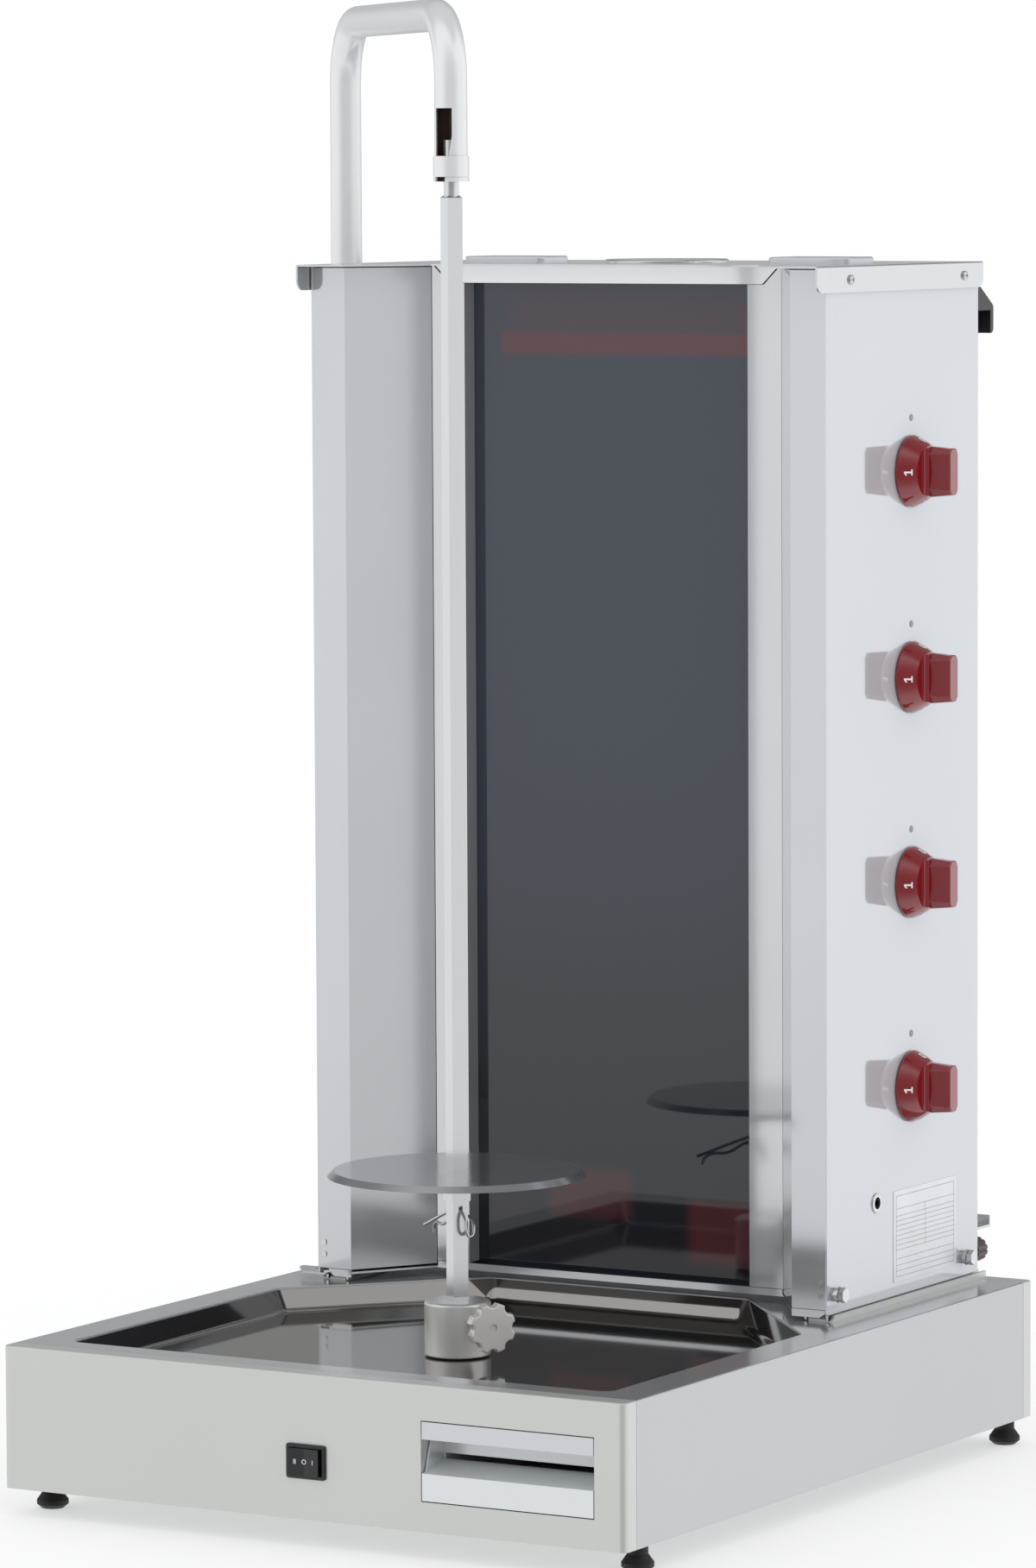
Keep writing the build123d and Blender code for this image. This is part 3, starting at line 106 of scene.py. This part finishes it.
def tone(red, green, blue):
    """Linear colour, with full alpha, of a colour as a screen shows it."""
    def linear(value):
        return value / 12.92 if value <= 0.04045 else ((value + 0.055) / 1.055) ** 2.4
    return linear(red), linear(green), linear(blue), 1.0


# Node helpers
def start_material(name):
    """New material with its node tree and its shader."""
    material = bpy.data.materials.new(name)
    material.use_nodes = True
    tree = material.node_tree
    return material, tree, tree.nodes["Principled BSDF"]


def noise(tree, scale, detail=3.0, spread=(1.0, 1.0, 1.0)):
    """Noise over the part's own coordinates, finer along the axes with a larger spread."""
    place = tree.nodes.new("ShaderNodeTexCoord")
    mapping = tree.nodes.new("ShaderNodeMapping")
    mapping.inputs["Scale"].default_value = spread
    texture = tree.nodes.new("ShaderNodeTexNoise")
    texture.inputs["Scale"].default_value = scale
    texture.inputs["Detail"].default_value = detail
    tree.links.new(place.outputs["Object"], mapping.inputs["Vector"])
    tree.links.new(mapping.outputs["Vector"], texture.inputs["Vector"])
    return texture.outputs["Fac"]


def ranged(tree, value, low, high, from_low=0.3, from_high=0.7):
    """Value brought from one range into another, and held inside it."""
    node = tree.nodes.new("ShaderNodeMapRange")
    node.inputs["From Min"].default_value = from_low
    node.inputs["From Max"].default_value = from_high
    node.inputs["To Min"].default_value = low
    node.inputs["To Max"].default_value = high
    tree.links.new(value, node.inputs["Value"])
    return node.outputs["Result"]


def mixed(tree, share, first, second):
    """Colour between two colours."""
    node = tree.nodes.new("ShaderNodeMix")
    node.data_type = "RGBA"
    tree.links.new(share, node.inputs["Factor"])
    node.inputs["A"].default_value = first
    node.inputs["B"].default_value = second
    return node.outputs["Result"]


def bumped(tree, shader, height, strength, distance):
    """Relief on a shader from a height."""
    bump = tree.nodes.new("ShaderNodeBump")
    bump.inputs["Strength"].default_value = strength
    bump.inputs["Distance"].default_value = distance
    tree.links.new(height, bump.inputs["Height"])
    tree.links.new(bump.outputs["Normal"], shader.inputs["Normal"])


def scaled(colour, share):
    """Darker or lighter colour."""
    return tuple(c * share for c in colour[:3]) + (1.0,)


def steel(name, colour, metal, rough, rough_change=0.02, grain=(1.0, 1.0, 1.0), relief=0.03, cloud=0.03):
    """Sheet steel with a fine rolled grain, slight unevenness and a milky share under its shine."""
    material, tree, shader = start_material(name)
    shader.inputs["Metallic"].default_value = metal
    patches = noise(tree, SHEET_CLOUD, 2.0)
    tint = mixed(tree, ranged(tree, patches, 0.0, 1.0), scaled(colour, 1 - cloud), colour)
    tree.links.new(tint, shader.inputs["Base Color"])
    lines = noise(tree, SHEET_GRAIN, 4.0, grain)
    finish = ranged(tree, lines, rough - rough_change, rough + rough_change)
    tree.links.new(finish, shader.inputs["Roughness"])
    bumped(tree, shader, lines, relief, RELIEF_DEPTH)
    return material


def plastic(name, colour, rough, relief=0.05, grain=900.0, cloud=0.08, coat=0.0):
    """Moulded plastic or rubber with a fine skin."""
    material, tree, shader = start_material(name)
    patches = noise(tree, MOULD_CLOUD, 3.0)
    tint = mixed(tree, ranged(tree, patches, 0.0, 1.0), scaled(colour, 1 - cloud), colour)
    tree.links.new(tint, shader.inputs["Base Color"])
    skin = noise(tree, grain, 2.0)
    finish = ranged(tree, skin, rough * SKIN_SMOOTHEST, rough * SKIN_ROUGHEST)
    tree.links.new(finish, shader.inputs["Roughness"])
    shader.inputs["Coat Weight"].default_value = coat
    shader.inputs["Coat IOR"].default_value = COAT_IOR
    bumped(tree, shader, skin, relief, RELIEF_DEPTH)
    return material


ACROSS = (0.6, 40.0, 40.0)
UPRIGHT = (40.0, 40.0, 0.6)
TURNED = (0.6, 0.6, 30.0)
SHELL_ROUGH = 0.30

FINISHES = {
    "base_steel": steel("base_steel", tone(0.785, 0.79, 0.78), 0.45, 0.30, 0.02, ACROSS, 0.004, 0.02),
    "drawer_steel": steel("drawer_steel", tone(0.85, 0.865, 0.875), 0.35, 0.24, 0.02, ACROSS, 0.004, 0.02),
    "tower_steel": steel("tower_steel", tone(0.80, 0.81, 0.83), 0.34, 0.06, 0.01, UPRIGHT, 0.002, 0.02),
    "mirror_steel": steel("mirror_steel", tone(0.83, 0.84, 0.85), 0.68, 0.10, 0.02, UPRIGHT, 0.01),
    "tray_steel": steel("tray_steel", tone(0.60, 0.59, 0.58), 0.97, 0.07, 0.02, ACROSS, 0.004),
    "tube_steel": steel("tube_steel", tone(0.89, 0.895, 0.90), 0.32, 0.22, 0.03, UPRIGHT, 0.006, 0.02),
    "spit_steel": steel("spit_steel", tone(0.84, 0.85, 0.855), 0.8, 0.15, 0.03, TURNED, 0.02),
    "zinc_steel": steel("zinc_steel", tone(0.80, 0.81, 0.81), 0.95, 0.16, 0.04, (1.0, 1.0, 1.0), 0.03),
    # Darker copy of the base steel for the base's deck and sides: painted shade on the sides of the base
    "shell_steel": steel(
        "shell_steel", tone(0.735, 0.74, 0.75), 0.45, SHELL_ROUGH, 0.02, ACROSS, 0.004, 0.02),
    "strip_steel": steel("strip_steel", tone(0.79, 0.80, 0.815), 0.4, 0.24, 0.02, ACROSS, 0.004, 0.02),
    "roof_steel": steel("roof_steel", tone(0.80, 0.81, 0.82), 0.75, 0.14, 0.02, UPRIGHT, 0.01),
    "wing_steel": steel("wing_steel", tone(0.795, 0.805, 0.82), 0.68, 0.10, 0.02, UPRIGHT, 0.01),
    "header_steel": steel("header_steel", tone(0.90, 0.905, 0.915), 0.6, 0.10, 0.02, UPRIGHT, 0.01),
    "star_steel": steel("star_steel", tone(0.84, 0.83, 0.825), 0.45, 0.3, 0.02, (1.0, 1.0, 1.0), 0.01),
    "disc_steel": steel("disc_steel", tone(0.67, 0.685, 0.695), 0.85, 0.14, 0.03, TURNED, 0.02),
    "socket_steel": steel("socket_steel", tone(0.87, 0.87, 0.865), 0.5, 0.24, 0.02, UPRIGHT, 0.002),
    "inner_steel": steel("inner_steel", tone(0.66, 0.67, 0.68), 0.8, 0.4, 0.05, ACROSS, 0.02),
    "bush_bronze": steel("bush_bronze", tone(0.16, 0.125, 0.11), 0.1, 0.4, 0.05, TURNED, 0.03),
    "knob_red": plastic("knob_red", tone(0.50, 0.05, 0.095), 0.12, 0.005, 1500.0, 0.05, 0.8),
    "dark_plastic": plastic("dark_plastic", tone(0.12, 0.115, 0.12), 0.34, 0.06),
    "gland_grey": plastic("gland_grey", tone(0.30, 0.27, 0.26), 0.42, 0.06),
    "rocker_black": plastic("rocker_black", tone(0.085, 0.09, 0.10), 0.22, 0.03),
    "foot_rubber": plastic("foot_rubber", tone(0.10, 0.09, 0.085), 0.6, 0.15, 500.0, 0.2),
    "dot_grey": plastic("dot_grey", tone(0.56, 0.58, 0.60), 0.4, 0.02),
    "plate_silver": plastic("plate_silver", tone(0.88, 0.895, 0.91), 0.3, 0.02),
    "motor_grey": plastic("motor_grey", tone(0.42, 0.43, 0.44), 0.5, 0.1),
    "nylon_white": plastic("nylon_white", tone(0.86, 0.85, 0.82), 0.45, 0.05),
    "element_dark": plastic("element_dark", tone(0.22, 0.20, 0.19), 0.55, 0.15),
}

GLASS_IOR = 1.6
GLASS_WAVE = 14.0
GLASS_ROUGH = (0.02, 0.04)
GLASS_LOW = tone(0.105, 0.11, 0.14)
GLASS_HIGH = tone(0.175, 0.205, 0.255)
# Red of the painted heater glow
GLASS_PAINTED_GLOW = tone(0.36, 0.17, 0.18)
GLASS_TOP_BLEND_MIDDLE = 0.36
GLASS_TOP_BLEND_SOFT = 0.20

# Painted heater glow on the glass, where the heater parts would show red through it: x range, z range,
# softness, in millimetres, and strength
PAINTED_HEATER_GLOWS = (
    ((-98, 140), (836, 852), 3.0, 0.75),
    ((-90, 130), (845, 880), 14.0, 0.25),
    ((-60, 12), (178, 214), 7.0, 0.5),
    ((62, 135), (150, 196), 7.0, 0.65),
)


def soft_step(tree, value, edge, softness):
    """Share that rises from 0 to 1 across an edge."""
    node = tree.nodes.new("ShaderNodeMapRange")
    node.interpolation_type = "SMOOTHSTEP"
    node.inputs["From Min"].default_value = edge - softness
    node.inputs["From Max"].default_value = edge + softness
    tree.links.new(value, node.inputs["Value"])
    return node.outputs["Result"]


def joined(tree, operation, first, second):
    """Result of a sum on two values, either of which may be a plain number."""
    node = tree.nodes.new("ShaderNodeMath")
    node.operation = operation
    for place, value in enumerate((first, second)):
        if isinstance(value, (int, float)):
            node.inputs[place].default_value = value
        else:
            tree.links.new(value, node.inputs[place])
    return node.outputs["Value"]


def inside(tree, value, span, softness):
    """Share of 1 inside a span and 0 outside it, with soft edges."""
    rise = soft_step(tree, value, span[0] * MM, softness * MM)
    fall = soft_step(tree, value, span[1] * MM, softness * MM)
    return joined(tree, "SUBTRACT", rise, fall)


def glass_finish():
    """Dark ceramic glass, lighter and bluer toward the top, with painted red heater glow where the heater
    parts lie behind it.
    """
    material, tree, shader = start_material("ceramic_glass")
    place = tree.nodes.new("ShaderNodeTexCoord")
    split = tree.nodes.new("ShaderNodeSeparateXYZ")
    tree.links.new(place.outputs["Object"], split.inputs["Vector"])
    across, height = split.outputs["X"], split.outputs["Z"]
    # Painted heater glow: red patches in the glass's own colour stand in for lit heaters behind it
    painted_glow = None
    for span_x, span_z, softness, strength in PAINTED_HEATER_GLOWS:
        in_width = inside(tree, across, span_x, softness)
        in_height = inside(tree, height, span_z, softness)
        patch = joined(tree, "MULTIPLY", in_width, in_height)
        patch = joined(tree, "MULTIPLY", patch, strength)
        painted_glow = joined(tree, "MAXIMUM", painted_glow, patch) if painted_glow else patch
    # The glass's colour turns lighter and bluer toward the top
    toward_top = soft_step(tree, height, GLASS_TOP_BLEND_MIDDLE, GLASS_TOP_BLEND_SOFT)
    tint = mixed(tree, toward_top, GLASS_LOW, GLASS_HIGH)
    blend = tree.nodes.new("ShaderNodeMix")
    blend.data_type = "RGBA"
    tree.links.new(painted_glow, blend.inputs["Factor"])
    tree.links.new(tint, blend.inputs["A"])
    blend.inputs["B"].default_value = GLASS_PAINTED_GLOW
    tree.links.new(blend.outputs["Result"], shader.inputs["Base Color"])
    wave = noise(tree, GLASS_WAVE, 1.0)
    tree.links.new(ranged(tree, wave, *GLASS_ROUGH), shader.inputs["Roughness"])
    shader.inputs["IOR"].default_value = GLASS_IOR
    return material


FINISHES["ceramic_glass"] = glass_finish()

# The tray falls a little toward the drain, the deck shines more than the sides of the base, and the open
# tube end gets painted shade inside
TRAY_FALL = (-0.0153, 0.0263, 0.0)
# Painted shade inside the open tube end: its tone, radius, depth and edge softness
PAINTED_TUBE_SHADE = tone(0.33, 0.27, 0.245)
TUBE_INSIDE_R = 10.8 * MM
TUBE_INSIDE_H = 64.0 * MM
TUBE_INSIDE_SOFT = 0.3 * MM
TUBE_TOP_SOFT = 1.0 * MM
DECK_METAL = 0.65
DECK_ROUGH = 0.15
LEVEL_FROM = (0.5, 0.9)


def fallen(material, slope):
    """Even fall of a surface, seen only in what it mirrors."""
    tree = material.node_tree
    place = tree.nodes.new("ShaderNodeTexCoord")
    fall = tree.nodes.new("ShaderNodeVectorMath")
    fall.operation = "DOT_PRODUCT"
    fall.inputs[1].default_value = slope
    tree.links.new(place.outputs["Object"], fall.inputs[0])
    bumped(tree, tree.nodes["Principled BSDF"], fall.outputs["Value"], 1.0, 1.0)


def polished_top(material, metal, rough):
    """Faces that look up are smoother and shine more."""
    tree = material.node_tree
    shader = tree.nodes["Principled BSDF"]
    place = tree.nodes.new("ShaderNodeTexCoord")
    split = tree.nodes.new("ShaderNodeSeparateXYZ")
    tree.links.new(place.outputs["Normal"], split.inputs["Vector"])
    up = split.outputs["Z"]
    sides = shader.inputs["Metallic"].default_value
    tree.links.new(ranged(tree, up, sides, metal, *LEVEL_FROM), shader.inputs["Metallic"])
    tree.links.new(ranged(tree, up, SHELL_ROUGH, rough, *LEVEL_FROM), shader.inputs["Roughness"])


def dark_inside(material, centre, radius, top):
    """Painted shade: dark tone inside the open end of an upright tube, where shade falls."""
    tree = material.node_tree
    shader = tree.nodes["Principled BSDF"]
    bare = shader.inputs["Base Color"].links[0].from_socket
    place = tree.nodes.new("ShaderNodeTexCoord")
    split = tree.nodes.new("ShaderNodeSeparateXYZ")
    tree.links.new(place.outputs["Object"], split.inputs["Vector"])
    across = joined(tree, "SUBTRACT", split.outputs["X"], centre.x)
    along = joined(tree, "SUBTRACT", split.outputs["Y"], centre.y)
    across_square = joined(tree, "MULTIPLY", across, across)
    along_square = joined(tree, "MULTIPLY", along, along)
    reach = joined(tree, "SQRT", joined(tree, "ADD", across_square, along_square), 0.0)
    outside = soft_step(tree, reach, radius, TUBE_INSIDE_SOFT)
    above = soft_step(tree, split.outputs["Z"], top, TUBE_TOP_SOFT)
    kept = joined(tree, "MAXIMUM", outside, above)
    blend = tree.nodes.new("ShaderNodeMix")
    blend.data_type = "RGBA"
    tree.links.new(kept, blend.inputs["Factor"])
    blend.inputs["A"].default_value = PAINTED_TUBE_SHADE
    tree.links.new(bare, blend.inputs["B"])
    tree.links.new(blend.outputs["Result"], shader.inputs["Base Color"])


ring_low, ring_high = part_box("lock_ring")
# Painted shade inside the tube end under the lock ring
dark_inside(FINISHES["tube_steel"], (ring_low + ring_high) / 2, TUBE_INSIDE_R, ring_low.z + TUBE_INSIDE_H)
fallen(FINISHES["tray_steel"], TRAY_FALL)
polished_top(FINISHES["shell_steel"], DECK_METAL, DECK_ROUGH)

# Nodes whose finish differs from the rest of their material
OWN_FINISH = {
    "base_shell": "shell_steel",
    "drawer_strip": "strip_steel",
    "roof": "roof_steel",
    "left_wing": "wing_steel",
    "right_wing": "wing_steel",
    "frame_header": "header_steel",
    "meat_disc": "disc_steel",
    "spit_socket": "socket_steel",
    "star_knob": "star_steel",
}

for name, node in nodes.items():
    for place in node.material_slots:
        place.material = FINISHES[OWN_FINISH.get(name, place.material.name.split(".")[0])]

PRINT_WHITE = plastic("print_white", tone(0.93, 0.93, 0.92), 0.4, 0.02)
PRINT_GREY = plastic("print_grey", tone(0.62, 0.64, 0.66), 0.4, 0.02)


# Marks laid on the surface of a node
def surface_of(node):
    """Search tree over a node's mesh."""
    mesh = nodes[node].data
    return BVHTree.FromPolygons([v.co for v in mesh.vertices], [p.vertices for p in mesh.polygons])


def letter_shape(text, size, bold=0.0):
    """Flat mesh of a short text, centred, as a bmesh."""
    curve = bpy.data.curves.new("letters", "FONT")
    curve.body = text
    curve.size = size
    curve.offset = bold
    curve.align_x = "CENTER"
    curve.align_y = "CENTER"
    curve.resolution_u = LETTER_STEPS
    holder = bpy.data.objects.new("letters", curve)
    bpy.context.scene.collection.objects.link(holder)
    mesh = bpy.data.meshes.new_from_object(holder)
    bpy.data.objects.remove(holder)
    bpy.data.curves.remove(curve)
    shape = bmesh.new()
    shape.from_mesh(mesh)
    bpy.data.meshes.remove(mesh)
    bmesh.ops.subdivide_edges(shape, edges=shape.edges, cuts=2, use_grid_fill=True)
    return shape


def flat_shape(points):
    """Flat mesh of one closed outline, as a bmesh."""
    shape = bmesh.new()
    shape.faces.new([shape.verts.new((x, y, 0)) for x, y in points])
    shape.normal_update()
    bmesh.ops.triangulate(shape, faces=shape.faces)
    bmesh.ops.subdivide_edges(shape, edges=shape.edges, cuts=1, use_grid_fill=True)
    return shape


def laid_on(target, shape, place, surface):
    """Shape moved to a place, dropped along the place's -z onto a surface, and added to a target."""
    down = -(place.to_3x3() @ Vector((0, 0, 1))).normalized()
    corners = {}
    for vert in shape.verts:
        start = place @ vert.co
        hit, _, _, _ = surface.ray_cast(start, down)
        corners[vert] = target.verts.new((hit if hit else start) - down * PRINT_RAISE)
    for face in shape.faces:
        target.faces.new([corners[v] for v in face.verts])
    shape.free()


def finished(target, name, material, body):
    """Object from a bmesh, with a finish, riding on a body."""
    mesh = bpy.data.meshes.new(name)
    bmesh.ops.recalc_face_normals(target, faces=target.faces)
    target.to_mesh(mesh)
    target.free()
    piece = bpy.data.objects.new(name, mesh)
    bpy.context.scene.collection.objects.link(piece)
    mesh.materials.append(material)
    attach(piece, body)
    return piece


def facing(origin, up, out):
    """Place whose y is up and whose z points out."""
    out = Vector(out).normalized()
    up = Vector(up).normalized()
    right = up.cross(out)
    turn = Matrix((right, up, out)).transposed().to_4x4()
    return Matrix.Translation(origin) @ turn


def knob_numerals(node):
    """Numerals 0 to 3 round a knob's sloping skirt, their tops outwards."""
    low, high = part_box(node)
    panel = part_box("right_side_panel")[1].x
    centre = Vector((panel + NUMERAL_HEIGHT, (low.y + high.y) / 2, (low.z + high.z) / 2))
    surface = surface_of(node)
    marks = bmesh.new()
    directions = ((0, 0, 1), (0, -1, 0), (0, 0, -1), (0, 1, 0))
    for numeral, direction in enumerate(directions):
        outward = Vector(direction)
        slope = outward * SKIRT_OUTWARD + Vector((SKIRT_DOWN, 0, 0))
        normal = Vector((SKIRT_OUTWARD, 0, 0)) - outward * SKIRT_DOWN
        origin = centre + outward * NUMERAL_OUT + normal * PRINT_DROP
        if numeral == 1:
            shape = flat_shape([(x * NUMERAL_SIZE, y * NUMERAL_SIZE) for x, y in NUMERAL_ONE])
        else:
            shape = letter_shape(str(numeral), NUMERAL_SIZE, NUMERAL_BOLD)
        laid_on(marks, shape, facing(origin, slope, normal), surface)
    finished(marks, node + "_numerals", PRINT_WHITE, node)


for number in range(1, 5):
    knob_numerals(f"knob_{number}")


def rocker_marks():
    """Marks of the three switch positions on the rocker."""
    low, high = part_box("switch_rocker")
    middle = (low.x + high.x) / 2
    height = (low.z + high.z) / 2
    surface = surface_of("switch_rocker")
    marks = bmesh.new()
    for step, text in ((-1, "II"), (0, "O"), (1, "I")):
        origin = Vector((middle + step * ROCKER_MARK_STEP, low.y - MM, height))
        laid_on(marks, letter_shape(text, ROCKER_MARK_SIZE), facing(origin, (0, 0, 1), (0, -1, 0)), surface)
    finished(marks, "rocker_marks", PRINT_WHITE, "rocker")


rocker_marks()


def bar(target, surface, place, length, width):
    """Straight flat bar along a place's x, laid on a surface."""
    half, side = length / 2, width / 2
    shape = flat_shape([(-half, -side), (half, -side), (half, side), (-half, side)])
    laid_on(target, shape, place, surface)


def plate_ruling():
    """Plain ruled table on the plate, without any lettering."""
    low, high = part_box("rating_plate")
    surface = surface_of("rating_plate")
    marks = bmesh.new()
    left, right = low.y + PLATE_EDGE, high.y - PLATE_EDGE
    bottom, top = low.z + PLATE_EDGE, high.z - PLATE_EDGE
    middle_y, middle_z = (left + right) / 2, (bottom + top) / 2
    out = high.x + PRINT_DROP

    def rule(y, z, length, up):
        bar(marks, surface, facing((out, y, z), up, (1, 0, 0)), length, PLATE_LINE)

    for z in (bottom, top):
        rule(middle_y, z, right - left, (0, 0, 1))
    for y in (left, right):
        rule(y, middle_z, top - bottom, (0, 1, 0))
    for share in PLATE_ROWS:
        rule(middle_y, top - share * (top - bottom), right - left, (0, 0, 1))
    rows_top = top - PLATE_ROWS[0] * (top - bottom)
    rows_low = top - PLATE_ROWS[8] * (top - bottom)
    rule(middle_y, (rows_top + rows_low) / 2, rows_top - rows_low, (0, 1, 0))
    finished(marks, "plate_ruling", PRINT_GREY, "tower")


plate_ruling()


# Studio and camera
def lobe(tree, direction, axis, start, end):
    """Share that grows from 0 to 1 as a direction nears an axis."""
    toward = tree.nodes.new("ShaderNodeVectorMath")
    toward.operation = "DOT_PRODUCT"
    toward.inputs[1].default_value = axis
    tree.links.new(direction, toward.inputs[0])
    return soft_step(tree, toward.outputs["Value"], (start + end) / 2, (end - start) / 2)


def dimmed(tree, share, least):
    """Factor that falls from 1 to a least value as a share grows."""
    return joined(tree, "SUBTRACT", 1.0, joined(tree, "MULTIPLY", share, 1 - least))


def shaped_light(tree, direction):
    """Strength of the light that the steel mirrors: dim overhead, toward the camera and behind."""
    split = tree.nodes.new("ShaderNodeSeparateXYZ")
    tree.links.new(direction, split.inputs["Vector"])
    raised = soft_step(tree, split.outputs["Z"], *OVERHEAD_FROM)
    below = dimmed(tree, soft_step(tree, split.outputs["Z"], *LOW_RIGHT_TOP), 0.0)
    low_right = joined(tree, "MULTIPLY", soft_step(tree, split.outputs["X"], *LOW_RIGHT_FROM), below)
    overhead = joined(tree, "MULTIPLY", raised, dimmed(tree, low_right, 0.0))
    overhead = joined(tree, "MULTIPLY", overhead, soft_step(tree, split.outputs["Y"], *OVERHEAD_BACK))
    light = dimmed(tree, overhead, OVERHEAD_DIM)
    far_side = tuple(-value for value in CAMERA_SIDE)
    sides = (
        (CAMERA_SIDE, CAMERA_SIDE_SPREAD, CAMERA_SIDE_DIM),
        (far_side, FAR_SIDE_SPREAD, FAR_SIDE_DIM),
        (RIM_SIDE, RIM_SPREAD, RIM_LIGHT),
    )
    for axis, spread, least in sides:
        light = joined(tree, "MULTIPLY", light, dimmed(tree, lobe(tree, direction, axis, *spread), least))
    return light


def studio():
    """White floor and background, with shaped light for the shine of the steel."""
    shape = bmesh.new()
    bmesh.ops.create_grid(shape, x_segments=1, y_segments=1, size=FLOOR_HALF)
    mesh = bpy.data.meshes.new("floor")
    shape.to_mesh(mesh)
    shape.free()
    floor = bpy.data.objects.new("floor", mesh)
    bpy.context.scene.collection.objects.link(floor)
    paint = plastic("floor_paint", tone(*FLOOR_TONE), 0.8, 0.0, 40.0, 0.01)
    shader = paint.node_tree.nodes["Principled BSDF"]
    shader.inputs["Emission Color"].default_value = (1.0, 1.0, 1.0, 1.0)
    shader.inputs["Emission Strength"].default_value = FLOOR_GLOW
    mesh.materials.append(paint)
    floor.visible_glossy = False
    world = bpy.data.worlds.new("studio")
    world.use_nodes = True
    tree = world.node_tree
    place = tree.nodes.new("ShaderNodeTexCoord")
    path = tree.nodes.new("ShaderNodeLightPath")
    shaped = shaped_light(tree, place.outputs["Generated"])
    mirrored = path.outputs["Is Glossy Ray"]
    plain = joined(tree, "SUBTRACT", 1.0, mirrored)
    strength = joined(tree, "ADD", plain, joined(tree, "MULTIPLY", mirrored, shaped))
    background = tree.nodes["Background"]
    background.inputs["Color"].default_value = LIGHT_TINT
    tree.links.new(joined(tree, "MULTIPLY", strength, LIGHT), background.inputs["Strength"])
    bpy.context.scene.world = world
    bpy.context.scene.view_settings.view_transform = "Standard"


def camera():
    """Camera where the photograph was taken."""
    yaw = math.radians(CAMERA_YAW)
    pitch = math.radians(CAMERA_PITCH)
    roll = math.radians(CAMERA_ROLL)
    forward = Vector((-math.sin(yaw) * math.cos(pitch), math.cos(yaw) * math.cos(pitch), -math.sin(pitch)))
    level = Vector((math.cos(yaw), math.sin(yaw), 0))
    upright = level.cross(forward)
    right = level * math.cos(roll) + upright * math.sin(roll)
    up = upright * math.cos(roll) - level * math.sin(roll)
    data = bpy.data.cameras.new("camera")
    data.sensor_width = SENSOR
    data.lens = FOCAL_PIXELS / max(IMAGE_WIDTH, IMAGE_HEIGHT) * SENSOR
    data.clip_end = CAMERA_REACH
    view = bpy.data.objects.new("camera", data)
    bpy.context.scene.collection.objects.link(view)
    turn = Matrix((right, up, -forward)).transposed().to_4x4()
    view.matrix_world = Matrix.Translation(CAMERA_PLACE) @ turn
    bpy.context.scene.camera = view


studio()
camera()
